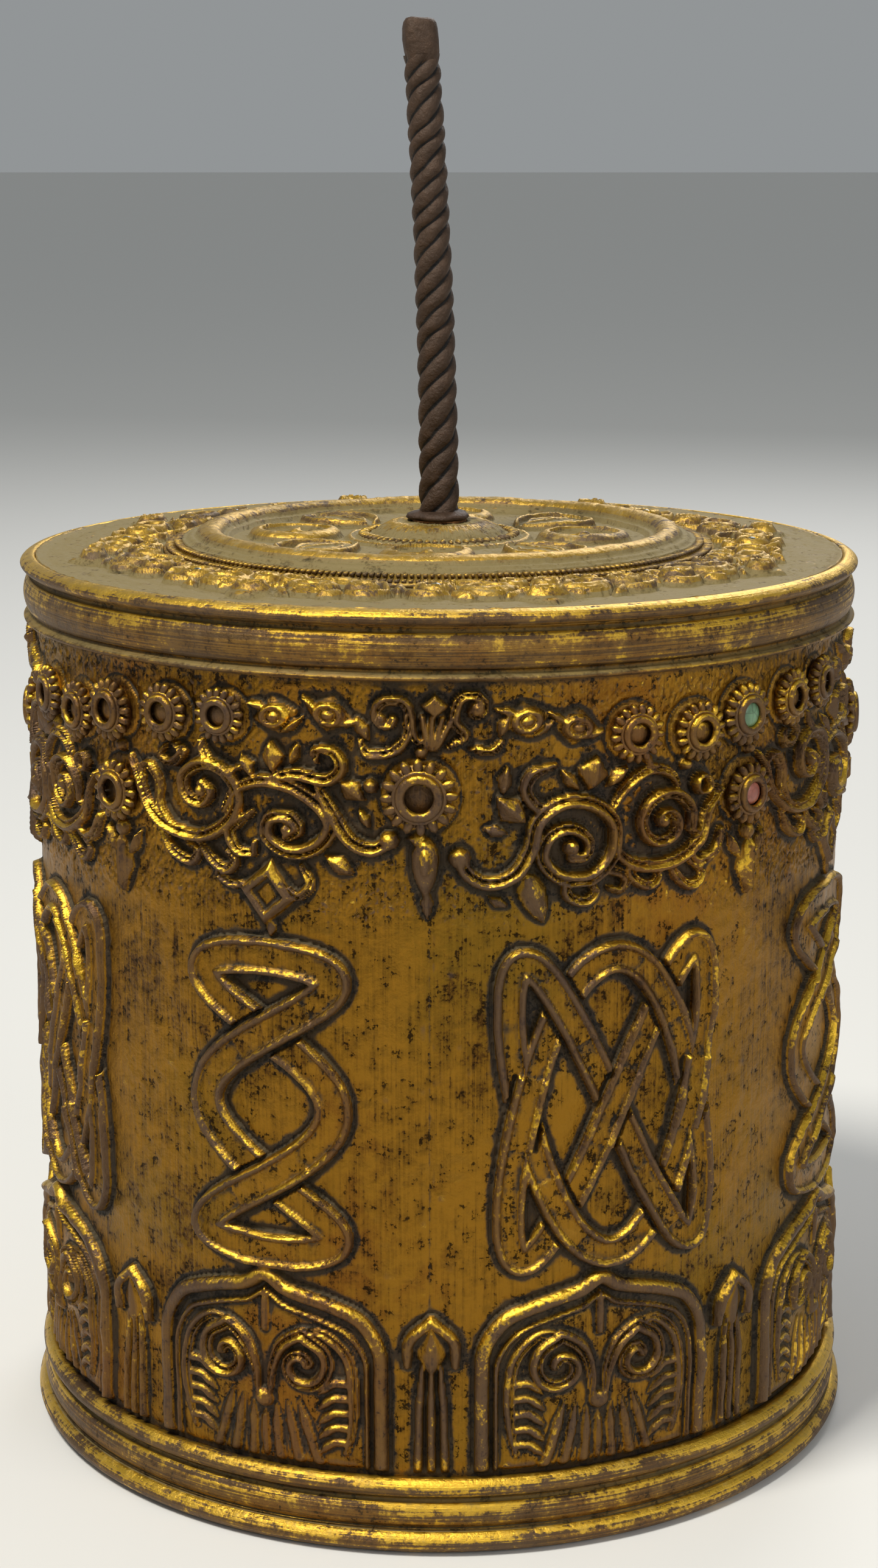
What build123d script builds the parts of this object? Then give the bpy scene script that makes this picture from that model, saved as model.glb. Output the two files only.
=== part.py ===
"""Prayer wheel: a gilt copper drum with a lift-off lid, turning on a twisted iron spindle.

Millimetres. +Z is up. The origin is on the drum's axis, on the surface that the base ring stands on.
Angles round the drum are counted from the front (-Y), positive towards +X.
"""
import os
from math import asin, cos, radians, sin

from build123d import *

# ---- driving dimensions -------------------------------------------------------------------
# drum wall
shell_radius = 67.4          # outer face of the sheet, between the raised work
shell_wall = 1.0
relief_height = 1.5          # how far the raised work stands out of the sheet
# base ring
base_ring_width = 3.4        # how far the ring stands out of the drum
base_height = 12.0
base_flange_width = 9.4      # flat foot under the drum's edge
base_flange_thick = 1.0
base_plate_thick = 1.2
# lid
lid_rim_width = 2.3
lid_top = 147.8              # top face of the lid's sheet above the ground
lid_sheet = 1.4
lid_rim_height = 10.6
lid_rim_proud = 0.4          # the rim's top bead above the lid's sheet
skirt_wall = 1.0
skirt_depth = 14.0
medallion_radius = 42.0
medallion_sheet = 1.6
medallion_ring_width = 7.2
medallion_ring_height = 2.5
band_width = 4.0             # notched band round the medallion
band_height = 2.2
boss_radius = 14.5
boss_height = 3.2
# spindle
bar_width = 5.2              # square bar, across the flats
head_width = 5.6
head_length = 6.8
bar_length = 80.0            # from the collar to the top
journal_radius = 2.6
collar_width = 3.0
collar_thick = 1.2
spindle_bend = 3.2           # how far the top has been bent off the axis, towards -X
bend_power = 1.8
twist_turns = 5.25
step_angle = 22.5            # twist between two sections of the bar
# bearings
bush_wall = 1.9
bush_drop = 2.0              # bush below the lid's sheet
hub_wall = 2.54
hub_height = 8.0
bearing_flange_radius = 13.0
bearing_flange_thick = 1.5
bearing_floor = 1.2
rivet_radius = 1.0
rivet_head_radius = 1.9
rivet_head_height = 0.8
rivet_circle = 9.4
rivet_count = 4
# prayer roll and packing
core_slack = 1.1             # round the spindle, inside the core tube
core_wall = 1.5
disc_thick = 2.5
cloth_thick = 0.9
tie_width = 3.0
tie_thick = 0.9
tie_count = 3
# settings
repeats = 8                  # the raised work repeats eight times round the drum
pattern_turn = -1.0          # the drum's pattern is this far off the front, degrees
pendant_drop = 18.1          # below the lid's rim
pendant_radius = 5.9
pendant_socket = 2.3
garland_drop = 7.6
garland_pitch = 10.0         # degrees between the settings of the top row
garland_count = 5
garland_radius = 4.4
garland_socket = 2.9
setting_depth = 1.5
stone_rise = 1.3
lid_pattern_turn = -6.5
leaf_share = 0.60            # place across the lid's open border, as a share of its width
leaf_length = 9.0
leaf_width = 6.4
crescent_share = 0.35
crescent_radius = 3.6
crescent_wire = 1.5
round_share = 0.30
round_radius = 3.0
round_socket = 1.9
lid_setting_height = 2.0
petal_width = 38.0
petal_height = 31.0
petal_rib = 2.6
panel_height = 56.0
panel_middle = 69.5
panel_narrow = 25.0
panel_wide = 37.0
panel_strap = 5.0
# clearances
solder_gap = 0.1             # between pieces that are soldered or laid on each other
lid_gap = 0.3                # lid to drum, round the wall
seat_gap = 0.1               # flat faces that rest on each other across a joint
running_gap = 0.06           # spindle in its bush and its foot bearing
pivot_gap = 0.3              # below the spindle's foot
pack_gap = 0.3               # slack round the roll and its packing
tube_gap = 0.5               # above the core tube
rivet_gap = 0.05

# ---- what follows from them ---------------------------------------------------------------
shell_inner = shell_radius - shell_wall
base_radius = shell_radius + solder_gap + base_ring_width
base_flange_inner = shell_radius - base_flange_width
plate_bottom = base_flange_thick + solder_gap
plate_top = plate_bottom + base_plate_thick
shell_bottom = plate_top + solder_gap
lid_under = lid_top - lid_sheet
shell_top = lid_under - seat_gap
rim_inner = shell_radius + lid_gap
lid_radius = rim_inner + lid_rim_width
rim_top = lid_top + lid_rim_proud
rim_bottom = rim_top - lid_rim_height
pendant_height = rim_bottom - pendant_drop
garland_height = rim_bottom - garland_drop
skirt_outer = shell_inner - lid_gap
skirt_inner = skirt_outer - skirt_wall
medallion_bottom = lid_top + solder_gap
medallion_top = medallion_bottom + medallion_sheet
band_outer = medallion_radius + solder_gap + band_width
border = rim_inner - band_outer
leaf_place = band_outer + leaf_share * border
crescent_place = band_outer + crescent_share * border
round_place = band_outer + round_share * border
boss_bottom = medallion_top + solder_gap
boss_top = boss_bottom + boss_height
bush_bore = journal_radius + running_gap
bush_radius = bush_bore + bush_wall
bush_hole = bush_radius + solder_gap
bush_bottom = lid_under - bush_drop
collar_bottom = boss_top + seat_gap
collar_top = collar_bottom + collar_thick
collar_radius = journal_radius + collar_width
spindle_top = collar_top + bar_length
head_bottom = spindle_top - head_length
hub_radius = bush_bore + hub_wall
hub_top = plate_top + solder_gap + hub_height
pivot_floor = plate_top + solder_gap + bearing_floor
spindle_foot = pivot_floor + pivot_gap
core_bore = journal_radius + core_slack
core_radius = core_bore + core_wall
core_bottom = hub_top + solder_gap
roll_bottom = plate_top + solder_gap + disc_thick + solder_gap
disc_top = bush_bottom - tube_gap
roll_cover_top = disc_top - disc_thick - solder_gap
roll_top = roll_cover_top - cloth_thick - solder_gap
cloth_radius = skirt_inner - 2 * pack_gap
roll_radius = cloth_radius - cloth_thick - solder_gap
centre_hole = max(core_radius, hub_radius) + pack_gap


def around(angle):
    """Unit vector that points out of the drum at an angle from the front."""
    return Vector(sin(radians(angle)), -cos(radians(angle)), 0)


def wall_plane(angle, height, radius):
    """Plane whose X runs round the drum, Y up and Z out of the wall."""
    out = around(angle)
    return Plane(origin=out * radius + Vector(0, 0, height), x_dir=Vector(-out.Y, out.X, 0), z_dir=out)


def lid_plane(angle, radius, height=None):
    """Plane on the lid's sheet whose Y points away from the axis."""
    out = around(angle)
    level = lid_top + solder_gap if height is None else height
    return Plane(origin=out * radius + Vector(0, 0, level), x_dir=Vector(-out.Y, out.X, 0), z_dir=(0, 0, 1))


def tube(outer, inner, bottom, top):
    """Round tube or washer on the axis."""
    ring = Circle(outer) - Circle(inner)
    return extrude(Plane.XY.offset(bottom) * ring, top - bottom)


def turned(*points):
    """Solid turned about the axis from an outline of straight and arched stretches.

    A point is (radius, height). A third number bows the stretch that ends there, as a share of its length.
    """
    corners = [Vector(p[0], 0, p[1]) for p in points]
    edges = []
    for start, end, point in zip(corners, corners[1:] + corners[:1], points[1:] + points[:1]):
        if len(point) == 3:
            along = end - start
            side = Vector(-along.Z, 0, along.X) * point[2]
            edges.append(ThreePointArc(start, (start + end) * 0.5 + side, end))
        else:
            edges.append(Line(start, end))
    return revolve(make_face(edges), Axis.Z)


def setting(plane, outer, socket, depth):
    """Round collet with a floor and an open socket."""
    floor = depth * 0.3
    return plane * (extrude(Circle(outer), depth) - extrude(Plane.XY.offset(floor) * Circle(socket), depth))


def cabochon(plane, socket, depth, rise):
    """Domed stone that stands in a collet's socket."""
    radius = socket - solder_gap
    floor = depth * 0.3 + solder_gap
    top = depth + rise
    dome = radius * 0.45
    sphere = (radius ** 2 + dome ** 2) / (2 * dome)
    half_turn = asin(radius / sphere) / 2
    shoulder = top - sphere * (1 - cos(half_turn))
    outline = make_face([
        Line((0, floor), (radius, floor)),
        Line((radius, floor), (radius, top - dome)),
        ThreePointArc((radius, top - dome), (sphere * sin(half_turn), shoulder), (0, top)),
        Line((0, top), (0, floor)),
    ])
    return plane * revolve(Plane.XZ * outline, Axis.Z)


def group(solids):
    """Separate solids that share a node."""
    return Compound(children=list(solids))


# ---- drum ---------------------------------------------------------------------------------
def petal_sketch(grow):
    """Lotus petal with an ogee point, its foot on the sketch's X axis."""
    half = petal_width / 2 + grow
    top = petal_height + grow
    shoulder = petal_height * 0.62 + grow
    edges = [
        Line((-half, 0), (half, 0)),
        Line((half, 0), (half, shoulder * 0.7)),
        ThreePointArc((half, shoulder * 0.7), (half * 0.86, shoulder * 1.12), (half * 0.42, shoulder * 1.3)),
        ThreePointArc((half * 0.42, shoulder * 1.3), (half * 0.16, (shoulder * 1.32 + top) / 2), (0, top)),
    ]
    return make_face(edges + [mirror(edge, Plane.YZ) for edge in edges[1:]])


def relief(sketch, angle, height):
    """A sketch raised from the drum's wall."""
    plane = wall_plane(angle, height, shell_radius * 0.8)
    return extrude(plane * sketch, shell_radius * 0.4)


def drum_shell():
    skin = tube(shell_radius + relief_height, shell_inner + shell_wall / 2, base_height, rim_bottom)
    frame = base_height + petal_rib / 2
    raised = []
    for number in range(repeats):
        angle = pattern_turn + (number + 0.5) * 360 / repeats
        width = panel_wide if number % 2 == 0 else panel_narrow
        rib = petal_sketch(0) - petal_sketch(-petal_rib)
        loop = Rectangle(width, panel_height) - Rectangle(width - 2 * panel_strap, panel_height - 2 * panel_strap)
        raised.append(relief(rib, angle, frame) & skin)
        raised.append(relief(loop, angle, panel_middle) & skin)
    wall = tube(shell_radius, shell_inner, shell_bottom, shell_top)
    return wall.fuse(*[solid for piece in raised for solid in piece.solids()])


def base_ring():
    inner = shell_radius + solder_gap
    groove = base_radius - 1.4
    return turned(
        (base_flange_inner, 0),
        (base_radius - 0.8, 0),
        (base_radius - 0.8, base_height * 0.28, -0.28),
        (groove, base_height * 0.32),
        (groove, base_height * 0.70, -0.16),
        (groove, base_height * 0.75),
        (base_radius - 1.6, base_height, -0.4),
        (inner, base_height),
        (inner, base_flange_thick),
        (base_flange_inner, base_flange_thick),
    )


def base_plate():
    plate = tube(shell_radius, bush_radius, plate_bottom, plate_top)
    return plate - group(rivet_shank(number, rivet_radius + rivet_gap) for number in range(rivet_count))


def rivet_shank(number, radius):
    angle = (number + 0.5) * 360 / rivet_count
    spot = around(angle) * rivet_circle
    top = plate_top + solder_gap + bearing_flange_thick
    return Pos(spot.X, spot.Y, plate_bottom) * extrude(Circle(radius), top - plate_bottom)


def foot_bearing():
    bottom = plate_top + solder_gap
    hub = turned(
        (0, bottom),
        (bearing_flange_radius, bottom),
        (bearing_flange_radius, bottom + bearing_flange_thick),
        (hub_radius, bottom + bearing_flange_thick),
        (hub_radius, hub_top),
        (bush_bore, hub_top),
        (bush_bore, pivot_floor),
        (0, pivot_floor),
    )
    return hub - group(rivet_shank(number, rivet_radius + rivet_gap) for number in range(rivet_count))


def foot_bearing_rivets():
    top = plate_top + solder_gap + bearing_flange_thick
    rivets = []
    for number in range(rivet_count):
        spot = around((number + 0.5) * 360 / rivet_count) * rivet_circle
        shank = Pos(spot.X, spot.Y, plate_bottom) * extrude(Circle(rivet_radius), top - plate_bottom)
        head = Pos(spot.X, spot.Y, top) * extrude(Circle(rivet_head_radius), rivet_head_height, taper=20)
        tail = Pos(spot.X, spot.Y, plate_bottom) * extrude(Circle(rivet_head_radius), -rivet_head_height, taper=20)
        rivets.append(shank.fuse(head, tail))
    return group(rivets)


def core_tube():
    return tube(core_radius, core_bore, core_bottom, disc_top)


def packing_disc_bottom():
    hole = bearing_flange_radius + pack_gap
    bottom = plate_top + solder_gap
    return tube(shell_inner - pack_gap, hole, bottom, bottom + disc_thick)


def packing_disc_top():
    return tube(cloth_radius, centre_hole, disc_top - disc_thick, disc_top)


def mantra_roll():
    return tube(roll_radius, centre_hole, roll_bottom, roll_top)


def roll_cloth():
    side = tube(cloth_radius, roll_radius + solder_gap, roll_bottom, roll_cover_top)
    end = tube(cloth_radius, centre_hole, roll_top + solder_gap, roll_cover_top)
    return side.fuse(end)


def roll_ties():
    inner = cloth_radius + solder_gap
    span = rim_bottom - skirt_depth - roll_bottom
    ties = []
    for number in range(tie_count):
        middle = roll_bottom + span * (number + 0.5) / tie_count
        ties.append(tube(inner + tie_thick, inner, middle - tie_width / 2, middle + tie_width / 2))
    return group(ties)


# ---- settings on the drum -----------------------------------------------------------------
wall_seat = shell_radius + solder_gap


def pendant_planes():
    return [wall_plane(pattern_turn + k * 360 / repeats, pendant_height, wall_seat) for k in range(repeats)]


def garland_planes():
    planes = []
    for module in range(1, repeats, 2):
        middle = pattern_turn + module * 360 / repeats
        for place in range(garland_count):
            angle = middle + (place - (garland_count - 1) / 2) * garland_pitch
            planes.append(wall_plane(angle, garland_height, wall_seat))
    return planes


def pendant_settings():
    return group(setting(plane, pendant_radius, pendant_socket, setting_depth) for plane in pendant_planes())


def garland_settings():
    return group(setting(plane, garland_radius, garland_socket, setting_depth) for plane in garland_planes())


def coral_cabochons():
    stones = pendant_planes()[1::2]
    return group(cabochon(plane, pendant_socket, setting_depth, stone_rise) for plane in stones)


def turquoise_cabochons():
    stones = garland_planes()[garland_count // 2::garland_count]
    return group(cabochon(plane, garland_socket, setting_depth, stone_rise) for plane in stones)


# ---- lid ----------------------------------------------------------------------------------
def lid_plate():
    return tube(rim_inner - solder_gap, bush_hole, lid_under, lid_top)


def lid_rim():
    groove = lid_radius - 0.9
    return turned(
        (rim_inner, rim_bottom),
        (lid_radius - 0.5, rim_bottom),
        (lid_radius - 0.5, rim_bottom + 1.6, -0.3),
        (groove, rim_bottom + 2.2),
        (groove, rim_bottom + 7.4, -0.12),
        (groove, rim_top - 2.6),
        (lid_radius - 0.6, rim_top - 2.2),
        (lid_radius - 1.0, rim_top, -0.3),
        (rim_inner, rim_top),
    )


def lid_skirt():
    return tube(skirt_outer, skirt_inner, lid_under - skirt_depth, lid_under - solder_gap)


def lid_medallion():
    ring_inner = medallion_radius - medallion_ring_width
    return turned(
        (bush_hole, medallion_bottom),
        (medallion_radius, medallion_bottom),
        (medallion_radius, medallion_top),
        (ring_inner, medallion_top, -medallion_ring_height / medallion_ring_width),
        (bush_hole, medallion_top),
    )


def lid_notched_band():
    inner = medallion_radius + solder_gap
    return turned(
        (inner, medallion_bottom),
        (band_outer, medallion_bottom),
        (band_outer, medallion_bottom + band_height * 0.5),
        (inner + band_width * 0.6, medallion_bottom + band_height),
        (inner, medallion_bottom + band_height),
    )


def lid_boss():
    return turned(
        (bush_hole, boss_bottom),
        (boss_radius, boss_bottom),
        (boss_radius - 3.4, boss_bottom + boss_height * 0.3, -0.3),
        (collar_radius + 1.5, boss_top),
        (bush_hole, boss_top),
    )


def lid_bush():
    return tube(bush_radius, bush_bore, bush_bottom, boss_top)


def module_angles(*offsets):
    """The same places in each of the lid's repeats."""
    return [lid_pattern_turn + k * 360 / repeats + offset for k in range(repeats) for offset in offsets]


def lid_leaf_settings():
    """Pointed leaves, tips out."""
    half = leaf_width / 2
    tip = leaf_length / 2
    leaf = make_face([
        ThreePointArc((0, -tip), (half, -tip * 0.3), (0, tip)),
        ThreePointArc((0, tip), (-half, -tip * 0.3), (0, -tip)),
    ])
    solid = extrude(leaf, lid_setting_height, taper=15)
    return group(lid_plane(angle, leaf_place) * solid for angle in module_angles(22.5))


def lid_crescents():
    moon = Circle(crescent_radius) - Pos(0, crescent_radius * 0.7) * Circle(crescent_radius * 0.95)
    return group(lid_plane(a, crescent_place) * extrude(moon, crescent_wire) for a in module_angles(-14.5, 14.5))


def lid_round_planes():
    return [lid_plane(angle, round_place) for angle in module_angles(-6.0, 6.0)]


def lid_round_settings():
    return group(setting(plane, round_radius, round_socket, lid_setting_height) for plane in lid_round_planes())


def lid_glass_beads():
    stones = lid_round_planes()[1::2]
    return group(cabochon(plane, round_socket, lid_setting_height, 0.9) for plane in stones)


# ---- spindle ------------------------------------------------------------------------------
def spindle_line(height):
    """Middle of the bar: upright at the collar, bent a little at the top."""
    share = (height - collar_bottom) / (spindle_top - collar_bottom)
    return -spindle_bend * max(share, 0) ** bend_power


def spindle():
    """Round journal below the collar, square twisted bar above it, plain square head."""
    journal = extrude(Plane.XY.offset(spindle_foot) * Circle(journal_radius), collar_top - spindle_foot)
    steps = round(twist_turns * 360 / step_angle)
    sections = []
    for step in range(steps + 1):
        height = collar_top + (head_bottom - collar_top) * step / steps
        place = Pos(spindle_line(height), 0, height) * Rot(0, 0, step * step_angle)
        sections.append(place * Rectangle(bar_width, bar_width))
    twisted = loft(sections, ruled=True)
    foot = Pos(spindle_line(head_bottom), 0, head_bottom) * Rot(0, 0, steps * step_angle)
    top = Pos(spindle_line(spindle_top), 0, spindle_top) * Rot(0, 0, steps * step_angle)
    head = loft([foot * Rectangle(head_width, head_width), top * Rectangle(head_width, head_width)], ruled=True)
    return journal.fuse(twisted, head)


def spindle_collar():
    return tube(collar_radius, journal_radius + solder_gap, collar_bottom, collar_top - solder_gap)


nodes = [
    drum_shell, base_ring, base_plate, foot_bearing, foot_bearing_rivets, core_tube,
    packing_disc_bottom, packing_disc_top, mantra_roll, roll_cloth, roll_ties,
    pendant_settings, garland_settings, coral_cabochons, turquoise_cabochons,
    lid_plate, lid_rim, lid_skirt, lid_medallion, lid_notched_band, lid_boss, lid_bush,
    lid_leaf_settings, lid_crescents, lid_round_settings, lid_glass_beads,
    spindle, spindle_collar,
]

os.makedirs("parts", exist_ok=True)
for node in nodes:
    export_step(node(), f"parts/{node.__name__}.step")
    print("written", node.__name__)
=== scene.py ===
"""Prayer wheel: the raised work and finish of a gilt copper drum, its lid, twisted spindle and prayer roll."""
from math import asin, atan2, cos, degrees, exp, hypot, pi, radians, sin

import bpy
import numpy as np
from mathutils import Matrix, Vector


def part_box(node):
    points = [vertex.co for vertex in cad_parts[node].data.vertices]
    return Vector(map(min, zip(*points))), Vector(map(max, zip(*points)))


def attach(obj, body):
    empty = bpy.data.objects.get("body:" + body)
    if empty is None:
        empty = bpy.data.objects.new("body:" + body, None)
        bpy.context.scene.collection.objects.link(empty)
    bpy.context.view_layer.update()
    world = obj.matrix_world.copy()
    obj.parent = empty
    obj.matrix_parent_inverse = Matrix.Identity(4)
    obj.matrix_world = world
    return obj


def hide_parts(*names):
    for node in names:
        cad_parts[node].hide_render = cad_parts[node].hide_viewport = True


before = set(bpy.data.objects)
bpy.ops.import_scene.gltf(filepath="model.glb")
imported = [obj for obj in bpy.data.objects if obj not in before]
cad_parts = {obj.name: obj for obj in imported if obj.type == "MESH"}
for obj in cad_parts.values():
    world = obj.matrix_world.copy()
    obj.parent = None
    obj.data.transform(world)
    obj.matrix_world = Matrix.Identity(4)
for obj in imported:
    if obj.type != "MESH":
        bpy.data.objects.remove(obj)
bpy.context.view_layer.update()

# Sizes in millimetres. The raised work is laid out flat: on the wall, x is the arc from the front at the
# sheet's face and y the height above the ground; on the lid, x and y are as seen from above, front at -y.
MM = 0.001
rng = np.random.default_rng(8)


def low(node):
    """Lowest corner of a CAD node's box, in millimetres."""
    return [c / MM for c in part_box(node)[0]]


def high(node):
    """Highest corner of a CAD node's box, in millimetres."""
    return [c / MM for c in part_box(node)[1]]


WALL = 67.4                       # radius of the wall's plain face
WALL_INNER = 66.4
WALL_BOTTOM = low("drum_shell")[2]
WALL_TOP = high("drum_shell")[2]
BASE_TOP = high("base_ring")[2]
BASE_OUTER = high("base_ring")[0]
RIM_BOTTOM = low("lid_rim")[2]
RIM_TOP = high("lid_rim")[2]
RIM_OUTER = high("lid_rim")[0]
RIM_INNER = WALL + 0.3
LID_TOP = high("lid_plate")[2]
LID_UNDER = low("lid_plate")[2]
MEDALLION = 42.0
MEDALLION_FLOOR = LID_TOP + 1.7
BAND_OUTER = 46.1
BUSH_HOLE = 4.6
BOSS_TOP = high("lid_boss")[2]
COLLAR_BOTTOM = low("spindle_collar")[2]
COLLAR_TOP = high("spindle_collar")[2]
SPINDLE_TOP = high("spindle")[2]
SPINDLE_FOOT = low("spindle")[2]
JOURNAL = 2.6
BEND = 3.2
MODULES = 8                       # the raised work repeats eight times round the drum
PATTERN_TURN = -1.5               # degrees that the drum's pattern stands off the front
LID_TURN = -6.5
ARC = WALL * pi / 180             # millimetres of arc to a degree of the wall


# ---- materials ----------------------------------------------------------------------------
class Wire:
    """One output of a node, so that maths on it is written as an expression."""

    def __init__(self, nodes, socket):
        self.nodes = nodes
        self.socket = socket

    def __add__(self, other):
        return self.nodes.maths("ADD", self, other)

    __radd__ = __add__

    def __sub__(self, other):
        return self.nodes.maths("SUBTRACT", self, other)

    def __rsub__(self, other):
        return self.nodes.maths("SUBTRACT", other, self)

    def __mul__(self, other):
        return self.nodes.maths("MULTIPLY", self, other)

    __rmul__ = __mul__

    def __truediv__(self, other):
        return self.nodes.maths("DIVIDE", self, other)

    def __rtruediv__(self, other):
        return self.nodes.maths("DIVIDE", other, self)

    def __pow__(self, other):
        return self.nodes.maths("POWER", self, other)

    def clipped(self):
        """The value kept between 0 and 1."""
        return self.nodes.put("ShaderNodeClamp", {}, {"Value": self})


class Nodes:
    """A node tree that is written node by node."""

    def __init__(self, tree):
        self.tree = tree

    def put(self, kind, settings, inputs, output=0):
        """A node of any kind: its settings first, then values or links for its sockets."""
        node = self.tree.nodes.new(kind)
        for name, value in settings.items():
            setattr(node, name, value)
        for key, value in inputs.items():
            if isinstance(value, Wire):
                self.tree.links.new(value.socket, node.inputs[key])
            else:
                node.inputs[key].default_value = value
        return Wire(self, node.outputs[output])

    def maths(self, operation, first, second):
        return self.put("ShaderNodeMath", {"operation": operation}, {0: first, 1: second})


def srgb(red, green, blue):
    """A colour of 0 to 255 as Blender's linear values."""
    def linear(c):
        c = c / 255
        return c / 12.92 if c < 0.04045 else ((c + 0.055) / 1.055) ** 2.4
    return (linear(red), linear(green), linear(blue), 1.0)


class Finish(Nodes):
    """A surface finish: a material with one principled shader."""

    def __init__(self, name, metallic=0.0, **constants):
        self.material = bpy.data.materials.new(name)
        self.material.use_nodes = True
        super().__init__(self.material.node_tree)
        self.tree.nodes.clear()
        self.shader = self.tree.nodes.new("ShaderNodeBsdfPrincipled")
        end = self.tree.nodes.new("ShaderNodeOutputMaterial")
        self.tree.links.new(self.shader.outputs[0], end.inputs["Surface"])
        self.shader.inputs["Metallic"].default_value = metallic
        for key, value in constants.items():
            self.shader.inputs[key.replace("_", " ")].default_value = value
        self.place = self.put("ShaderNodeTexCoord", {}, {}, "Object")

    def set(self, **inputs):
        for key, value in inputs.items():
            self.tree.links.new(value.socket, self.shader.inputs[key.replace("_", " ")])

    def stretched(self, x, y, z):
        """The object's own coordinates, scaled along each axis."""
        return self.put("ShaderNodeMapping", {}, {"Vector": self.place, "Scale": (x, y, z)})

    def noise(self, scale, detail=4.0, roughness=0.55, place=None):
        inputs = {"Vector": place or self.place, "Scale": scale, "Detail": detail, "Roughness": roughness}
        return self.put("ShaderNodeTexNoise", {}, inputs)

    def attribute(self, name):
        return self.put("ShaderNodeAttribute", {"attribute_name": name}, {}, "Fac")

    def upward(self):
        """1 on faces that look up, 0 on walls."""
        normal = self.put("ShaderNodeTexCoord", {}, {}, "Normal")
        return self.put("ShaderNodeSeparateXYZ", {}, {0: normal}, "Z").clipped()

    def step(self, value, start, end):
        """0 below start, 1 above end, smooth between; start may be above end."""
        settings = {"interpolation_type": "SMOOTHSTEP"}
        return self.put("ShaderNodeMapRange", settings, {"Value": value, "From Min": start, "From Max": end})

    def blend(self, share, first, second):
        """A colour between two colours."""
        return self.put("ShaderNodeMix", {"data_type": "RGBA"}, {0: share, 6: first, 7: second}, 2)

    def bump(self, height, distance, strength=1.0, under=None):
        inputs = {"Height": height, "Distance": distance, "Strength": strength}
        if under is not None:
            inputs["Normal"] = under
        return self.put("ShaderNodeBump", {}, inputs)


# the first colour is worn gold on rubbed ridges, and also a painted highlight on ridges that face up
RUBBED_AND_HIGHLIT_GOLD = srgb(226, 180, 58)
WARM_GOLD = srgb(146, 104, 32)
OLD_GOLD = srgb(110, 78, 26)
OLIVE_GOLD = srgb(112, 90, 28)
RED_GOLD = srgb(128, 76, 30)
COPPER_BROWN = srgb(78, 52, 24)
DUST = srgb(126, 110, 66)
RIDGE_DUST = srgb(86, 66, 52)
TARNISH = srgb(38, 28, 14)
NEARLY_BLACK = srgb(18, 13, 7)


def gilt(name, dust=0.0, brushed=0.0, streaks=0.0, rubbed_and_highlit=1.0, brown=0.0):
    """Worn gilding over copper: gold on the faces, brown on the ridges, black in the hollows. The bright gold on rubbed
    ridges is also a painted highlight, pushed onto ridges that face up, and the black also stands for painted shade
    where the hollow attribute carries it.
    """
    f = Finish(name, metallic=1.0)
    hollow = f.attribute("hollow")              # below 0 in a hollow, and on the wall also in the painted shade at the foot and under the rim; above 0 on a ridge
    patches = f.noise(48.0, 5.0)
    drifts = f.noise(26.0, 3.0, 0.5, f.stretched(1.0, 1.0, 0.6))
    mottle = f.noise(330.0, 8.0, 0.62)
    grain = f.noise(1500.0, 4.0, 0.6)
    upright = f.noise(1.0, 5.0, 0.6, f.stretched(2300.0, 2300.0, 40.0))
    level = f.noise(1.0, 6.0, 0.62, f.stretched(38.0, 38.0, 3000.0))
    skyward = f.upward()
    tone = mottle * 0.55 + patches * 0.45 + (upright - 0.5) * brushed + (level - 0.5) * streaks
    colour = f.blend(f.step(tone, 0.36, 0.60), OLD_GOLD, WARM_GOLD)
    colour = f.blend(f.step(drifts + (grain - 0.5) * 0.2, 0.52, 0.70) * 0.45, colour, OLIVE_GOLD)
    colour = f.blend(f.step(drifts + (mottle - 0.5) * 0.3, 0.46, 0.32) * 0.45, colour, RED_GOLD)
    colour = f.blend(f.step(tone + (grain - 0.5) * 0.5 - brown, 0.46, 0.34) * 0.9, colour, COPPER_BROWN)
    near = f.step(hollow, 0.0, -0.12)
    flecks = f.step(grain + mottle * 0.5 + (upright - 0.5) * brushed * 0.5 - near * 0.08, 0.64, 0.57) * f.step(mottle - near * 0.06, 0.48, 0.40)
    colour = f.blend(flecks * 0.85, colour, TARNISH)
    ridge = f.step(hollow + (mottle - 0.5) * 0.2, 0.07, 0.26)
    # painted highlight: skyward pushes ridges that face up towards bright gold, on top of the random rubbed wear, and
    # leaves more brown ridge dust on ridges that face down
    rubbed = f.step(patches * 0.5 + mottle * 0.5 + grain * 0.35 + skyward * 0.22 + (level - 0.5) * streaks * 0.5, 0.74, 0.86)
    browned = ridge * (1.0 - rubbed) * (0.45 + f.step(drifts, 0.40, 0.60) * 0.35)
    colour = f.blend(browned, colour, RIDGE_DUST)
    # bright gold on ridges: rubbed wear and a painted highlight
    colour = f.blend(ridge * rubbed * rubbed_and_highlit, colour, RUBBED_AND_HIGHLIT_GOLD)
    depth = f.step(hollow + (grain - 0.5) * 0.25, -0.14, -0.40)
    colour = f.blend(depth * 0.88, colour, NEARLY_BLACK)
    lying = (skyward * dust * f.step(mottle * 0.5 + grain * 0.3 - ridge * 0.17, 0.22, 0.42) + (0.5 * dust ** 3) * mottle).clipped()
    colour = f.blend(lying, colour, DUST)
    dull = (browned * 0.55 + depth * 0.9 + lying).clipped()
    f.set(Base_Color=colour)
    f.set(Metallic=1.0 - dull * 0.85)
    f.set(Roughness=(0.30 + mottle * 0.14 + flecks * 0.2 + dull * 0.32 - ridge * rubbed * 0.08 + (upright - 0.5) * brushed * 0.25).clipped())
    dents = f.bump(patches, 0.0016, 0.5)
    pits = f.bump(mottle + grain * 0.35 + upright * brushed * 0.5 + level * streaks * 0.5, 0.00035, 0.9, dents)
    f.set(Normal=pits)
    return f.material


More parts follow.
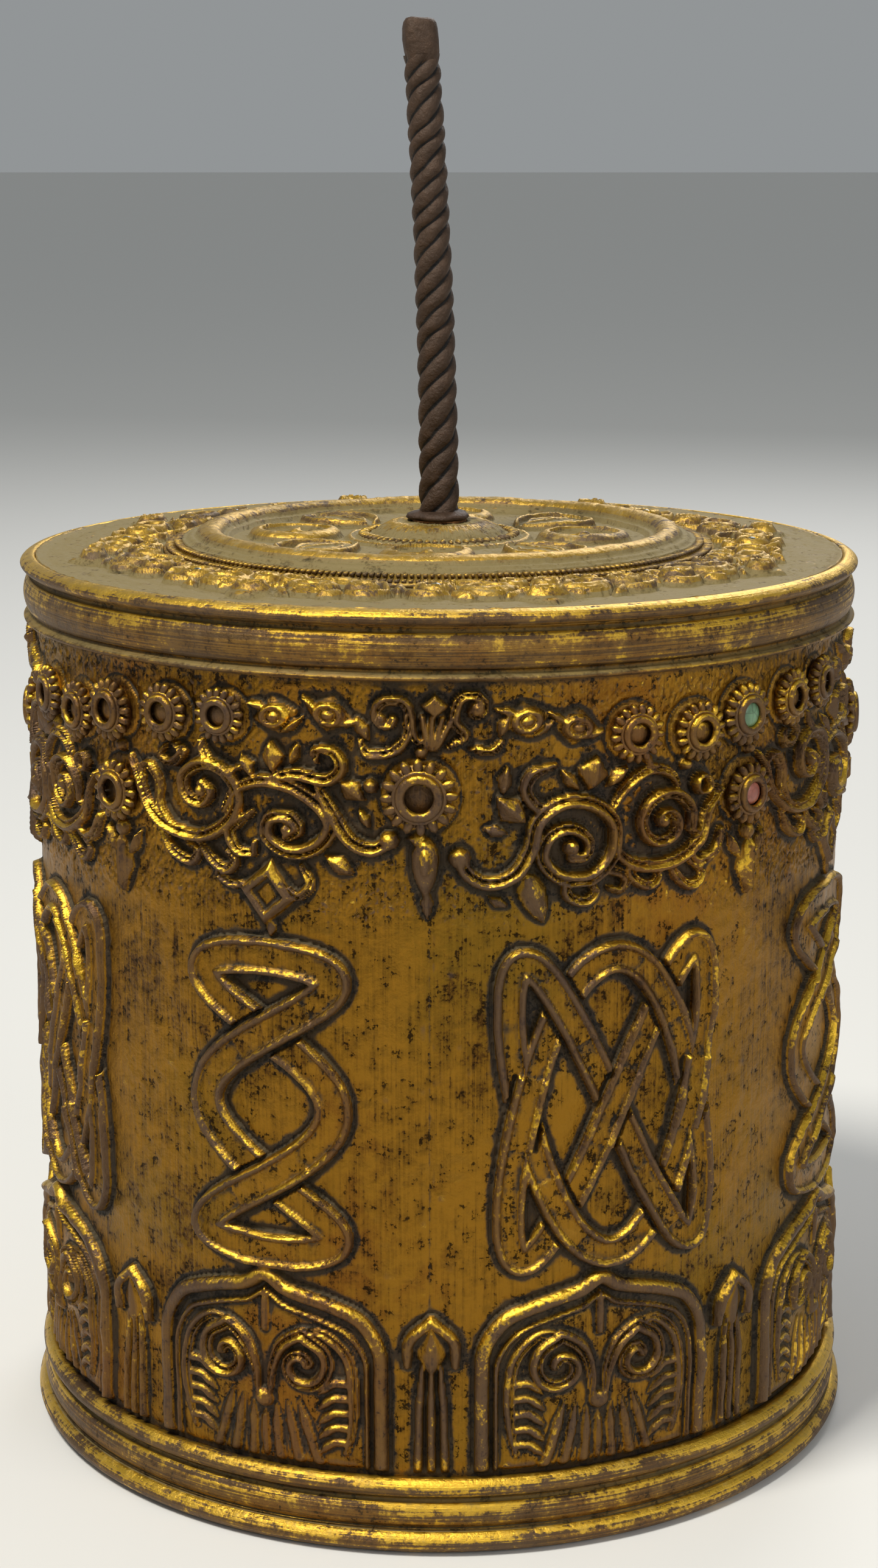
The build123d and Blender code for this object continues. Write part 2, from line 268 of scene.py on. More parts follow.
def iron():
    """Hand-twisted iron: dark brown rust, paler where fingers have rubbed the ridges."""
    f = Finish("wrought_iron", metallic=0.6)
    hollow = f.attribute("hollow")
    mottle = f.noise(420.0, 7.0, 0.65)
    scale = f.noise(1600.0, 5.0, 0.6)
    colour = f.blend(f.step(mottle, 0.35, 0.65), srgb(26, 19, 13), srgb(54, 36, 22))
    colour = f.blend(f.step(mottle + scale * 0.6, 0.92, 0.72) * 0.5, colour, srgb(20, 16, 13))
    colour = f.blend(f.step(hollow + (mottle - 0.5) * 0.2, 0.06, 0.34) * 0.5, colour, srgb(88, 64, 44))
    colour = f.blend(f.step(hollow, -0.04, -0.24) * 0.8, colour, srgb(12, 9, 7))
    f.set(Base_Color=colour)
    f.set(Metallic=(0.6 - mottle * 0.6).clipped())
    f.set(Roughness=(0.38 + scale * 0.35).clipped())
    f.set(Normal=f.bump(mottle + scale * 0.5, 0.0005, 0.9))
    return f.material


def stone(name, body, dark, vein, roughness, veining=0.5):
    """A polished stone with a web of veins."""
    f = Finish(name, Coat_Weight=0.35, Coat_Roughness=0.12, Subsurface_Weight=0.0)
    clouds = f.noise(420.0, 5.0, 0.6)
    web = f.put("ShaderNodeTexVoronoi", {"feature": "DISTANCE_TO_EDGE"}, {"Vector": f.place, "Scale": 520.0})
    colour = f.blend(f.step(clouds, 0.35, 0.65), dark, body)
    colour = f.blend(f.step(web + clouds * 0.1, 0.12, 0.05) * veining, colour, vein)
    f.set(Base_Color=colour)
    f.set(Roughness=(roughness + clouds * 0.25).clipped())
    f.set(Normal=f.bump(clouds, 0.0003, 0.5))
    return f.material


def glass():
    """Old dark green glass in the lid's settings, with patches of dust."""
    f = Finish("green_glass", Coat_Weight=0.8, Coat_Roughness=0.05)
    clouds = f.noise(500.0, 4.0)
    colour = f.blend(f.step(clouds, 0.4, 0.65), srgb(22, 34, 22), srgb(52, 66, 40))
    f.set(Base_Color=f.blend(f.step(f.noise(1400.0), 0.56, 0.7) * 0.5, colour, DUST))
    f.set(Roughness=0.12 + clouds * 0.3)
    return f.material


def plain_copper(name, light, dark, metallic=0.9):
    """Unworked sheet or turned metal, rubbed and tarnished."""
    f = Finish(name)
    hollow = f.attribute("hollow")
    broad = f.noise(60.0, 5.0)
    fine = f.noise(700.0, 7.0, 0.6)
    level = f.noise(1.0, 4.0, 0.6, f.stretched(40.0, 40.0, 2400.0))
    colour = f.blend(f.step(broad * 0.6 + fine * 0.4, 0.38, 0.62), dark, light)
    colour = f.blend(f.step(fine + hollow * 0.2, 0.46, 0.36) * 0.7, colour, TARNISH)
    colour = f.blend(f.step(fine * 0.5 + broad * 0.5, 0.58, 0.68) * 0.5, colour, DUST)
    f.set(Base_Color=colour)
    f.set(Metallic=(metallic - f.step(broad, 0.55, 0.7) * 0.4).clipped())
    f.set(Roughness=(0.36 + fine * 0.25).clipped())
    f.set(Normal=f.bump(fine + level * 0.4, 0.0004, 0.6))
    return f.material


def cloth_finish():
    """Plain hand-woven cotton, read along the sheet's own width and height."""
    f = Finish("cloth", Sheen_Weight=0.3, Sheen_Roughness=0.5)
    uv = f.put("ShaderNodeUVMap", {"uv_map": "lie"}, {})
    across = f.put("ShaderNodeTexWave", {"bands_direction": "X"}, {"Vector": uv, "Scale": 320.0, "Distortion": 0.6})
    along = f.put("ShaderNodeTexWave", {"bands_direction": "Y"}, {"Vector": uv, "Scale": 320.0, "Distortion": 0.6})
    stain = f.noise(28.0, 5.0)
    slub = f.noise(500.0, 4.0)
    weave = across * 0.5 + along * 0.5
    colour = f.blend(f.step(stain, 0.35, 0.68), srgb(188, 152, 92), srgb(214, 184, 128))
    colour = f.blend((1.0 - weave) * 0.35, colour, srgb(120, 88, 48))
    colour = f.blend(f.step(slub, 0.62, 0.72) * 0.4, colour, srgb(232, 210, 166))
    f.set(Base_Color=colour)
    f.set(Roughness=0.82 + slub * 0.15)
    f.set(Normal=f.bump(weave + slub * 0.4, 0.0003, 0.7))
    return f.material


def tape_finish():
    """Woven tie tape in faded red."""
    f = Finish("tie_cord", Sheen_Weight=0.25)
    ribs = f.noise(1.0, 3.0, 0.5, f.stretched(900.0, 900.0, 3600.0))
    fade = f.noise(60.0, 4.0)
    colour = f.blend(f.step(fade, 0.35, 0.65), srgb(112, 38, 30), srgb(148, 62, 44))
    f.set(Base_Color=f.blend(f.step(ribs, 0.5, 0.36) * 0.6, colour, srgb(66, 24, 20)))
    f.set(Roughness=0.75 + ribs * 0.2)
    f.set(Normal=f.bump(ribs, 0.0003, 0.8))
    return f.material


def paper_finish():
    """The ends of a tight paper roll: rings of page edges, brown with age."""
    f = Finish("paper")
    rings = f.put("ShaderNodeTexWave", {"wave_type": "RINGS", "rings_direction": "Z"},
                  {"Vector": f.place, "Scale": 620.0, "Distortion": 2.2, "Detail": 3.0})
    age = f.noise(45.0, 6.0)
    fibres = f.noise(1300.0, 5.0, 0.6)
    colour = f.blend(f.step(age, 0.34, 0.66), srgb(150, 122, 78), srgb(206, 184, 136))
    colour = f.blend(f.step(rings + fibres * 0.3, 0.45, 0.2) * 0.5, colour, srgb(84, 60, 34))
    f.set(Base_Color=colour)
    f.set(Roughness=0.85 + fibres * 0.1)
    f.set(Normal=f.bump(rings + fibres * 0.5, 0.0004, 0.7))
    return f.material


def wood_finish():
    """Softwood, its grain in long lines."""
    f = Finish("wood")
    grain = f.put("ShaderNodeTexWave", {"bands_direction": "X"},
                  {"Vector": f.stretched(1.0, 0.10, 0.10), "Scale": 75.0, "Distortion": 3.0, "Detail": 4.0, "Detail Scale": 2.0})
    fibre = f.noise(1.0, 6.0, 0.6, f.stretched(1600.0, 60.0, 60.0))
    colour = f.blend(f.step(grain + fibre * 0.4, 0.3, 1.0), srgb(104, 66, 36), srgb(158, 112, 68))
    f.set(Base_Color=f.blend(f.step(fibre, 0.6, 0.72) * 0.4, colour, srgb(74, 46, 26)))
    f.set(Roughness=0.6 + fibre * 0.25)
    f.set(Normal=f.bump(fibre + grain * 0.4, 0.0003, 0.7))
    return f.material


GILT = gilt("gilt_copper", dust=0.25, brushed=0.45)
GILT_RIM = gilt("gilt_moulding", dust=0.75, streaks=1.1, rubbed_and_highlit=1.0, brown=0.06)
GILT_LID = gilt("dusty_gilt", dust=1.0, rubbed_and_highlit=0.6)
IRON = iron()
TURQUOISE = stone("turquoise", srgb(112, 150, 112), srgb(84, 116, 84), srgb(58, 54, 36), 0.32)
CORAL = stone("coral", srgb(176, 104, 84), srgb(142, 78, 62), srgb(92, 50, 40), 0.36, 0.3)
GLASS = glass()
COPPER = plain_copper("plain_copper", srgb(150, 104, 62), srgb(96, 66, 40))
CLOTH = cloth_finish()
TAPE = tape_finish()
PAPER = paper_finish()
WOOD = wood_finish()


# ---- raised work --------------------------------------------------------------------------
def eased(points, steps=9):
    """A smooth line through points, as an array of closely spaced places."""
    p = np.array(points, float)
    p = np.vstack([2 * p[0] - p[1], p, 2 * p[-1] - p[-2]])
    t = np.linspace(0, 1, steps, endpoint=False)[:, None]
    runs = []
    for a, b, c, d in zip(p[:-3], p[1:-2], p[2:-1], p[3:]):
        runs.append(0.5 * (2 * b + (c - a) * t + (2 * a - 5 * b + 4 * c - d) * t ** 2 + (3 * b - a - 3 * c + d) * t ** 3))
    return np.vstack(runs + [p[-2:-1]])


def curl(x, y, radius, start, turns, end=0.25, squash=1.0):
    """Points of a volute about (x, y), from its outside in; start is in degrees, turns may be negative."""
    n = max(5, int(abs(turns) * 10))
    places = []
    for i in range(n + 1):
        share = i / n
        angle = radians(start + 360 * turns * share)
        r = radius * (1 - share * (1 - end))
        places.append((x + r * cos(angle), y + r * sin(angle) * squash))
    return places


class Relief:
    """Raised work over a sheet laid flat: how far each place stands out of it, in millimetres."""

    def __init__(self, x, y, around=None):
        self.x, self.y, self.around = x, y, around
        self.height = np.zeros_like(x)
        self.edge = np.full_like(x, 9.0)          # distance from the nearest raised outline
        self.ground = np.zeros_like(x)

    def near(self, x, y, reach_x, reach_y=None):
        dx = self.x - x
        if self.around:
            dx = (dx + self.around / 2) % self.around - self.around / 2
        dy = self.y - y
        spot = np.nonzero((abs(dx) < reach_x) & (abs(dy) < (reach_y or reach_x)))
        return spot, dx[spot], dy[spot]

    def lay(self, spot, height, outside, over=False):
        """Put a motif on: outside is the distance beyond its outline, below 0 inside it."""
        inside = outside < 0
        if over:
            clear = (outside >= 0) & (outside < 0.5)
            self.height[spot] = np.where(clear, np.minimum(self.height[spot], 0.1), self.height[spot])
        found = np.maximum(self.height[spot], height) if not over else height
        self.height[spot] = np.where(inside, found, self.height[spot])
        self.edge[spot] = np.minimum(self.edge[spot], np.maximum(outside, 0.0))

    def stroke(self, points, width, height, form="scroll", ends=(0.55, 0.55), over=False, smooth=True, low=0.0):
        """A raised line: a channelled scroll, a rounded bead or a flat strap with ribbed edges."""
        line = eased(points) if smooth else np.array(points, float)
        middle = (line.min(0) + line.max(0)) / 2
        reach = (line.max(0) - line.min(0)) / 2 + width / 2 + 1.6
        spot, px, py = self.near(middle[0], middle[1], reach[0], reach[1])
        if not len(px):
            return
        px, py = px + middle[0], py + middle[1]
        a, b = line[:-1], line[1:]
        run = b - a
        length = np.hypot(run[:, 0], run[:, 1]) + 1e-9
        start = np.concatenate([[0], np.cumsum(length)])
        best = np.full(len(px), 99.0)
        side = np.zeros(len(px))
        along = np.zeros(len(px))
        beyond = np.zeros(len(px))
        last = len(a) - 1
        for i in range(len(a)):
            ux, uy = run[i] / length[i]
            wx, wy = px - a[i, 0], py - a[i, 1]
            t = wx * ux + wy * uy
            free = t.copy()
            t = np.clip(t, 0, length[i])
            off = np.hypot(wx - t * ux, wy - t * uy)
            closer = off < best
            best = np.where(closer, off, best)
            side = np.where(closer, np.sign(ux * wy - uy * wx), side)
            along = np.where(closer, (start[i] + t) / start[-1], along)
            past = np.zeros(len(px))
            if i == 0:
                past = np.maximum(past, -free)
            if i == last:
                past = np.maximum(past, free - length[i])
            beyond = np.where(closer, past, beyond)
        taper = np.interp(along, [0, 0.25, 0.7, 1], [ends[0], 1, 1, ends[1]])
        half = width / 2 * taper
        if over:
            best = np.where(beyond > 0.05, 99.0, best)
        u = best / half
        v = np.clip(u, 0, 1) * side
        roof = np.sqrt(np.clip(1 - u * u, 0, 1))
        if form == "scroll":
            main = np.sqrt(np.clip(1 - ((v + 0.38) / 0.62) ** 2, 0, 1))
            second = 0.80 * np.sqrt(np.clip(1 - ((v - 0.68) / 0.36) ** 2, 0, 1))
            shape = 0.12 * roof + 0.88 * np.maximum(main, second)
        elif form == "strap":
            from_edge = (1 - np.abs(v)) * half
            rib = np.sqrt(np.clip(1 - ((from_edge - 0.66) / 0.66) ** 2, 0, 1))
            shape = 0.50 * np.clip(from_edge / 0.4, 0, 1) + 0.50 * rib
        else:
            shape = roof
        self.lay(spot, low + height * shape * (0.6 + 0.4 * taper), best - half, over)

    def oval(self, x, y, across, up, height, turn=0.0, form="dome", bed=0.0):
        """A raised oval: a dome, a ring or a bezel."""
        spot, dx, dy = self.near(x, y, max(across, up) + 1.6)
        c, s = cos(radians(turn)), sin(radians(turn))
        px, py = dx * c + dy * s, -dx * s + dy * c
        u = np.hypot(px / across, py / up)
        outside = (u - 1) * min(across, up)
        if form == "ring":
            shape = np.sqrt(np.clip(1 - ((u - 0.74) / 0.26) ** 2, 0, 1)) + bed * (u < 0.74)
        elif form == "bezel":
            rim = np.sqrt(np.clip(1 - ((u - 0.72) / 0.28) ** 2, 0, 1))
            shape = np.maximum(rim * 0.9, np.sqrt(np.clip(1 - (u / 0.52) ** 2, 0, 1)))
        else:
            shape = np.sqrt(np.clip(1 - u * u, 0, 1))
        self.lay(spot, bed + height * shape, outside)

    def leaf(self, x, y, across, up, height, turn=0.0, ridge=True, point=1.35):
        """A pointed leaf or bud with a roof ridge down its middle, standing along `turn` from upright."""
        spot, dx, dy = self.near(x, y, max(across, up) + 1.6)
        c, s = cos(radians(turn)), sin(radians(turn))
        px, py = dx * c + dy * s, -dx * s + dy * c
        v = np.clip(py / up, -1, 1)
        half = across * np.clip(1 - np.abs(v) ** point, 0, 1) + 1e-6
        outside = np.where(np.abs(py) < up, (np.abs(px) - half) * 0.8, np.hypot(px, np.abs(py) - up))
        shape = np.clip(1 - np.abs(px) / half, 0, 1)
        roof = (0.25 + 0.75 * shape) if ridge else np.sqrt(np.clip(1 - (1 - shape) ** 2, 0, 1))
        fall = np.clip(half / (0.45 * across), 0, 1)
        self.lay(spot, height * roof * (0.35 + 0.65 * fall), outside)

    def drop(self, x, y, across, up, height, turn=0.0, facets=False):
        """A drop, round at the foot and pointed at the top; turned by 180 it hangs from its round end."""
        spot, dx, dy = self.near(x, y, max(across, up) + 1.6)
        c, s = cos(radians(turn)), sin(radians(turn))
        px, py = dx * c + dy * s, -dx * s + dy * c
        v = np.clip((py / up + 1) / 2, 0, 1)
        half = across * 1.9 * np.sqrt(np.clip(v, 0, 1)) * (1 - v) ** 0.85 + 1e-6
        outside = np.where(np.abs(py) < up, (np.abs(px) - half) * 0.85, np.hypot(px, np.abs(py) - up))
        shape = np.clip(1 - np.abs(px) / half, 0, 1)
        roof = (0.2 + 0.8 * shape) if facets else np.sqrt(np.clip(1 - (1 - shape) ** 2, 0, 1))
        fall = np.clip(half / (0.5 * across), 0, 1)
        self.lay(spot, height * roof * (0.3 + 0.7 * fall), outside)

    def lozenge(self, x, y, across, up, height, sunk=0.0, turn=0.0):
        spot, dx, dy = self.near(x, y, max(across, up) + 1.6)
        c, s = cos(radians(turn)), sin(radians(turn))
        px, py = dx * c + dy * s, -dx * s + dy * c
        u = np.abs(px) / across + np.abs(py) / up
        outside = (u - 1) * min(across, up) * 0.72
        shape = np.clip((1 - u) / 0.3, 0, 1)
        if sunk:
            shape = shape - sunk * np.clip((0.56 - u) / 0.10, 0, 1)
        self.lay(spot, height * shape, outside)

    def chase(self, depth, width):
        """Cut the dark outline beside everything that has been laid."""
        line = depth * np.exp(-(self.edge / width) ** 2) * (self.edge > 0)
        self.height = self.height - line

    def softened(self, field, reach):
        """A field averaged over `reach` steps each way, round the sheet where it closes."""
        total = field.copy()
        kernel = np.exp(-0.5 * (np.arange(-2 * reach, 2 * reach + 1) / reach) ** 2)
        kernel /= kernel.sum()
        for axis in (0, 1):
            result = np.zeros_like(total)
            for k, share in zip(range(-2 * reach, 2 * reach + 1), kernel):
                moved = np.roll(total, k, axis)
                if axis == 0 or not self.around:
                    edge = [slice(None), slice(None)]
                    if k > 0:
                        edge[axis] = slice(0, k)
                    elif k < 0:
                        edge[axis] = slice(k, None)
                    if k:
                        moved[tuple(edge)] = total[tuple(edge)]
                result += share * moved
            total = result
        return total


def cross_places(line):
    """Where a closed line crosses itself: pairs of places along it, as indices."""
    n = len(line)
    found = []
    for i in range(n):
        a, b = line[i], line[(i + 1) % n]
        for j in range(i + 2, n if i else n - 1):
            c, d = line[j], line[(j + 1) % n]
            if max(abs(a[0] - c[0]), abs(a[1] - c[1])) > 4:
                continue
            r, s = b - a, d - c
            area = r[0] * s[1] - r[1] * s[0]
            if abs(area) < 1e-12:
                continue
            w = c - a
            t, u = (w[0] * s[1] - w[1] * s[0]) / area, (w[0] * r[1] - w[1] * r[0]) / area
            if 0 <= t < 1 and 0 <= u < 1:
                found.append((i, j))
    return found


def interlace(relief, x, y, across, up, loops_x, loops_y, phase, width, height):
    """An endless strap woven over and under itself, filling a panel across by up each way from (x, y)."""
    t = np.linspace(0, 2 * pi, 240, endpoint=False)
    line = np.stack([x + across * np.sin(loops_x * t + phase), y + up * np.cos(loops_y * t)], 1)
    closed = np.vstack([line, line[:1]])
    relief.stroke(closed, width, height, "strap", (1, 1), smooth=False)
    passes = sorted([p for pair in cross_places(line) for p in pair])
    n = len(line)
    for k, place in enumerate(passes):
        if k % 2 == 0:
            count = 3
            while np.hypot(*(line[(place + count) % n] - line[(place - count) % n])) < width * 2.1 and count < 16:
                count += 1
            bridge = np.array([line[(place + i) % n] for i in range(-count, count + 1)])
            relief.stroke(bridge, width, height, "strap", (1, 1), over=True, smooth=False, low=0.28)


# ---- the wall -----------------------------------------------------------------------------
# Motifs are placed by their angle from the front, in degrees, and their height above the ground. The wall
# repeats every quarter turn, from one jewelled stem at -46.5 to the next at 43.5.
COLUMNS = 1440
QUARTER = COLUMNS // 4
FINE_LOW, FINE_HIGH, FINE_STEP = 11.4, 137.9, 0.335
fine = np.arange(FINE_LOW, FINE_HIGH, FINE_STEP)
ROWS = np.concatenate([[WALL_BOTTOM, 6.0], fine, [141.0, WALL_TOP]])
angles = -46.5 + 90 * np.arange(QUARTER) / QUARTER
wall = Relief(*np.meshgrid(angles * ARC, ROWS), around=90 * ARC)


def deg(*points):
    """Angles and heights as arc and height."""
    return [(a * ARC, z) for a, z in points]


def scroll(width, height, *points, ends=(0.55, 0.45)):
    wall.stroke(deg(*points), width * 1.16, height, ends=ends)


def volute(angle, z, radius, start, turns, width, height, end=0.22, lead=()):
    """A scroll that runs along its lead and winds up round (angle, z)."""
    wall.stroke(deg(*lead) + curl(angle * ARC, z, radius, start, turns, end), width, height, ends=(0.5, 0.75))


def bead(angle, z, radius, height, form="dome"):
    wall.oval(angle * ARC, z, radius, radius, height, form=form)


# petals round the foot
PETALS = (-23.4, 21.4)
for centre in PETALS:
    cx = centre * ARC
    span = 18.6
    outline = [(-span, 12.0), (-span, 27.0), (-span + 0.4, 33.0), (-span + 3.2, 37.4), (-span + 7.4, 39.4), (-7.0, 40.6),
               (-3.2, 41.6), (0, 43.4), (3.2, 41.6), (7.0, 40.6), (span - 7.4, 39.4), (span - 3.2, 37.4), (span - 0.4, 33.0),
               (span, 27.0), (span, 12.0)]
    # the swelling of the petal itself
    spot, dx, dy = wall.near(cx, 26.0, span + 1, 19.0)
    top = 40.5 - 9.0 * np.clip((np.abs(dx) - 8) / (span - 8), 0, 1) ** 2.4
    swell = np.clip((span - np.abs(dx)) / 4, 0, 1) * np.clip((top - (dy + 26)) / 4, 0, 1)
    wall.height[spot] = np.maximum(wall.height[spot], 0.75 * swell ** 0.6)
    wall.stroke([(cx + px, pz) for px, pz in outline], 2.5, 1.9, "bead", (1, 1))
    wall.stroke([(cx + px * 0.885, 12 + (pz - 12) * 0.905) for px, pz in outline], 0.9, 1.35, "bead", (1, 1))
    for hand in (-1, 1):
        # volutes that meet in the middle, and the feathers beneath them
        wall.stroke([(cx + hand * 1.0, 24.4), (cx + hand * 1.5, 28.5), (cx + hand * 3.0, 32.2), (cx + hand * 6.0, 34.4)]
                    + curl(cx + hand * 6.4, 29.4, 4.6, 80 if hand > 0 else 100, -hand * 1.15, 0.22), 2.3, 2.3, ends=(0.5, 0.8))
        wall.stroke([(cx + hand * 4.4, 34.4), (cx + hand * 9.4, 35.0), (cx + hand * 13.2, 31.6), (cx + hand * 14.4, 26.0),
                     (cx + hand * 14.2, 20.0), (cx + hand * 13.2, 15.2)], 2.0, 1.7, ends=(0.4, 0.5))
        for k in range(5):
            z0 = 15.4 + 2.5 * k
            wall.stroke([(cx + hand * 13.4, z0 + 1.6), (cx + hand * 11.2, z0 + 1.5), (cx + hand * 9.0, z0 - 0.4)], 1.7, 1.5,
                        "bead", (1, 0.35))
        for k in range(3):
            foot = hand * (2.2 + 3.0 * k)
            wall.stroke([(cx + foot * 1.1, 12.6), (cx + foot * 0.9, 17.6), (cx + foot * 0.62 + hand * 0.6, 22.0 + 0.6 * k)],
                        1.9, 1.3, "bead", (1, 0.3))
    wall.stroke([(cx, 34.6), (cx, 38.4), (cx, 41.0)], 1.6, 1.5, "bead", (0.9, 0.5))
    wall.oval(cx, 23.2, 1.8, 1.8, 2.1)
    wall.leaf(cx, 17.0, 1.6, 4.6, 1.5)
    # the tip of the petal behind, between this one and the next
    tx = (centre + 22.4) * ARC
    wall.stroke([(tx - 3.7, 30.5), (tx - 3.3, 34.6), (tx, 37.8)], 1.9, 1.8, "bead", (0.7, 1))
    wall.stroke([(tx + 3.7, 30.5), (tx + 3.3, 34.6), (tx, 37.8)], 1.9, 1.8, "bead", (0.7, 1))
    wall.leaf(tx, 33.2, 2.8, 4.8, 1.5)
    for k in (-1, 0, 1):
        wall.stroke([(tx + 2.1 * k, 12.2), (tx + 1.9 * k, 22.0), (tx + 1.4 * k, 30.5)], 1.3, 1.15, "bead", (1, 0.5))

# interlaced straps in the panels, a narrow chain and a broad knot by turns
interlace(wall, -22.6 * ARC, 70.9, 10.6, 23.6, 3, 1, 0.0, 6.0, 1.7)
interlace(wall, 22.9 * ARC, 70.9, 16.4, 23.6, 2, 3, 0.0, 5.2, 1.7)

# garland: jewelled string under the rim
for angle, z, turn in ((-20.9, 131.7, 12), (-13.7, 132.4, -14), (10.9, 131.6, 12), (17.3, 130.3, -10)):
    wall.leaf(angle * ARC, z, 2.9, 3.9, 0.8, 90 + turn, ridge=False)
    wall.oval(angle * ARC, z, 2.5, 1.9, 1.9, turn, "bezel", 0.2)
    for hand in (-1, 1):
        wall.leaf(angle * ARC + hand * 2.6, z - hand * 1.3, 0.8, 2.4, 1.6, 90 + turn + 24 * hand)
# lyre over the middle stem
volute(-6.2, 132.2, 3.1, 30, 0.85, 1.7, 1.9, 0.2, ((-1.6, 128.2), (-3.1, 129.4)))
volute(4.3, 133.4, 2.5, 150, -0.8, 1.6, 1.9, 0.2, ((1.2, 127.8), (3.2, 129.6), (1.9, 131.6)))
bead(4.7, 133.6, 1.2, 2.2)
bead(-7.2, 132.0, 0.9, 1.9)
wall.lozenge(-0.5 * ARC, 133.9, 2.3, 2.0, 1.9)
for k in range(4):
    lean = (k - 1.5) * 0.95
    wall.stroke([((-0.9 + lean * 0.35) * ARC, 127.4), ((-0.2 + lean * 1.3) * ARC, 132.2)], 1.15, 1.4, "bead", (0.5, 1))
scroll(1.5, 1.6, (-9.8, 128.4), (-8.8, 126.6), (-5.6, 127.2), (-3.9, 129.6), (-4.2, 131.2))
scroll(1.3, 1.5, (7.8, 128.6), (6.4, 127.2), (3.8, 127.6))
wall.leaf(-9.6 * ARC, 130.4, 1.2, 2.2, 1.5, 30)
wall.leaf(8.1 * ARC, 131.0, 1.1, 2.1, 1.5, -24)
# links and drop of the middle stem
bead(-2.2, 127.0, 1.0, 1.6)
bead(-2.4, 113.9, 1.3, 1.7)
wall.lozenge(-2.4 * ARC, 114.0, 2.3, 1.3, 1.4)
wall.drop(-1.7 * ARC, 109.6, 2.7, 4.6, 2.3, 180)
wall.drop(-1.7 * ARC, 110.3, 1.5, 2.5, 2.9, 180)
wall.leaf(-1.5 * ARC, 104.2, 1.0, 2.6, 1.6)
# left: second volute, towards the jewelled stem
scroll(1.9, 2.1, (-44.0, 122.6), (-42.0, 119.5), (-40.6, 115.8), (-36.4, 112.6), (-31.2, 112.3), (-27.2, 115.4), (-26.4, 119.2),
       (-28.0, 122.6), (-31.4, 123.4), (-34.2, 121.2), (-34.0, 118.2), (-31.8, 117.2), (-30.3, 118.9), (-31.4, 120.2), ends=(0.4, 0.8))
bead(-31.6, 119.2, 1.1, 2.1)
scroll(1.5, 1.8, (-36.5, 113.2), (-38.6, 116.0), (-38.8, 119.5), (-40.4, 121.8), (-42.0, 121.0), (-41.4, 119.6))
scroll(1.5, 1.7, (-31.6, 126.8), (-31.0, 124.8), (-28.6, 122.6), (-25.8, 123.4))
scroll(1.4, 1.7, (-36.0, 125.9), (-34.6, 124.6), (-36.4, 122.8), (-38.4, 123.6), (-37.6, 125.2))
# left: big spiral and its branches
scroll(2.1, 2.2, (-28.2, 116.6), (-26.8, 119.6), (-23.2, 121.6), (-19.2, 121.2), (-15.2, 118.6), (-13.6, 115.4), (-15.6, 112.2),
       (-19.0, 111.2), (-21.9, 113.2), (-21.6, 116.0), (-19.2, 116.4), (-17.9, 114.8), (-19.2, 113.6), ends=(0.5, 0.8))
bead(-19.4, 114.6, 1.0, 2.2)
scroll(2.0, 2.1, (-15.4, 121.6), (-13.4, 117.4), (-11.4, 113.8), (-8.6, 112.2), (-6.4, 113.2), ends=(0.45, 0.9))
bead(-6.2, 113.7, 1.5, 2.3)
scroll(1.8, 2.0, (-22.6, 121.8), (-18.4, 123.0), (-14.2, 122.4), (-12.2, 124.4), (-13.2, 126.8), (-15.6, 126.8), (-15.4, 125.2))
wall.leaf(-21.3 * ARC, 125.4, 1.9, 2.7, 2.0, 8)
wall.leaf(-24.8 * ARC, 123.6, 1.2, 2.1, 1.6, 34)
wall.leaf(-18.4 * ARC, 126.0, 1.0, 1.9, 1.5, -20)
wall.leaf(-10.9 * ARC, 121.0, 1.8, 2.6, 1.9, 52)
bead(-8.5, 121.8, 1.2, 1.9)
wall.leaf(-12.6 * ARC, 109.6, 1.5, 2.7, 1.5, 60)
wall.leaf(-9.4 * ARC, 116.8, 0.9, 1.9, 1.4, 30)
scroll(1.5, 1.7, (-24.4, 116.6), (-27.4, 113.6), (-26.4, 110.8), (-24.2, 110.4), (-24.0, 112.0))
scroll(1.5, 1.7, (-32.0, 111.0), (-30.2, 108.6), (-28.0, 107.4), (-26.6, 109.0), (-28.0, 110.2))
scroll(1.5, 1.7, (-38.4, 112.2), (-36.6, 109.2), (-33.6, 107.9), (-32.4, 109.6), (-34.2, 110.6))
scroll(1.3, 1.5, (-29.6, 106.6), (-27.2, 105.2), (-25.6, 105.8))
wall.lozenge(-22.2 * ARC, 104.4, 5.2, 5.6, 1.9, 0.55, -6)
wall.lozenge(-22.2 * ARC, 104.4, 2.1, 2.3, 1.2, 0.0, -6)
wall.leaf(-21.9 * ARC, 99.0, 1.1, 1.6, 1.1)
scroll(1.3, 1.5, (-17.6, 109.0), (-16.4, 106.4), (-18.0, 104.4), (-19.4, 105.6))
# right: crescent scroll, big spiral and volute
scroll(2.1, 2.2, (2.7, 110.8), (3.6, 108.6), (6.2, 107.1), (9.4, 108.4), (11.4, 112.0), (12.4, 116.4), (15.6, 119.0), (19.6, 118.4),
       (22.4, 115.2), (22.2, 110.6), (19.4, 107.4), (15.4, 107.6), (13.0, 110.6), (13.8, 114.0), (16.6, 115.0), (18.8, 113.2), (18.6, 110.9),
       (16.8, 110.6), ends=(0.9, 0.7))
bead(2.6, 111.0, 1.7, 2.2)
bead(16.6, 112.2, 1.3, 2.3)
scroll(2.0, 2.1, (22.4, 113.8), (23.4, 110.2), (26.6, 108.2), (31.4, 108.4), (35.4, 111.4), (36.8, 115.8), (38.6, 118.4), ends=(0.5, 0.5))
volute(29.6, 114.6, 5.3, -20, 1.45, 1.9, 2.1, 0.2, ((36.0, 112.2),))
bead(29.4, 114.8, 1.2, 2.2)
scroll(1.7, 1.9, (14.6, 124.6), (11.8, 123.6), (10.8, 121.0), (12.4, 118.4), (14.6, 118.9))
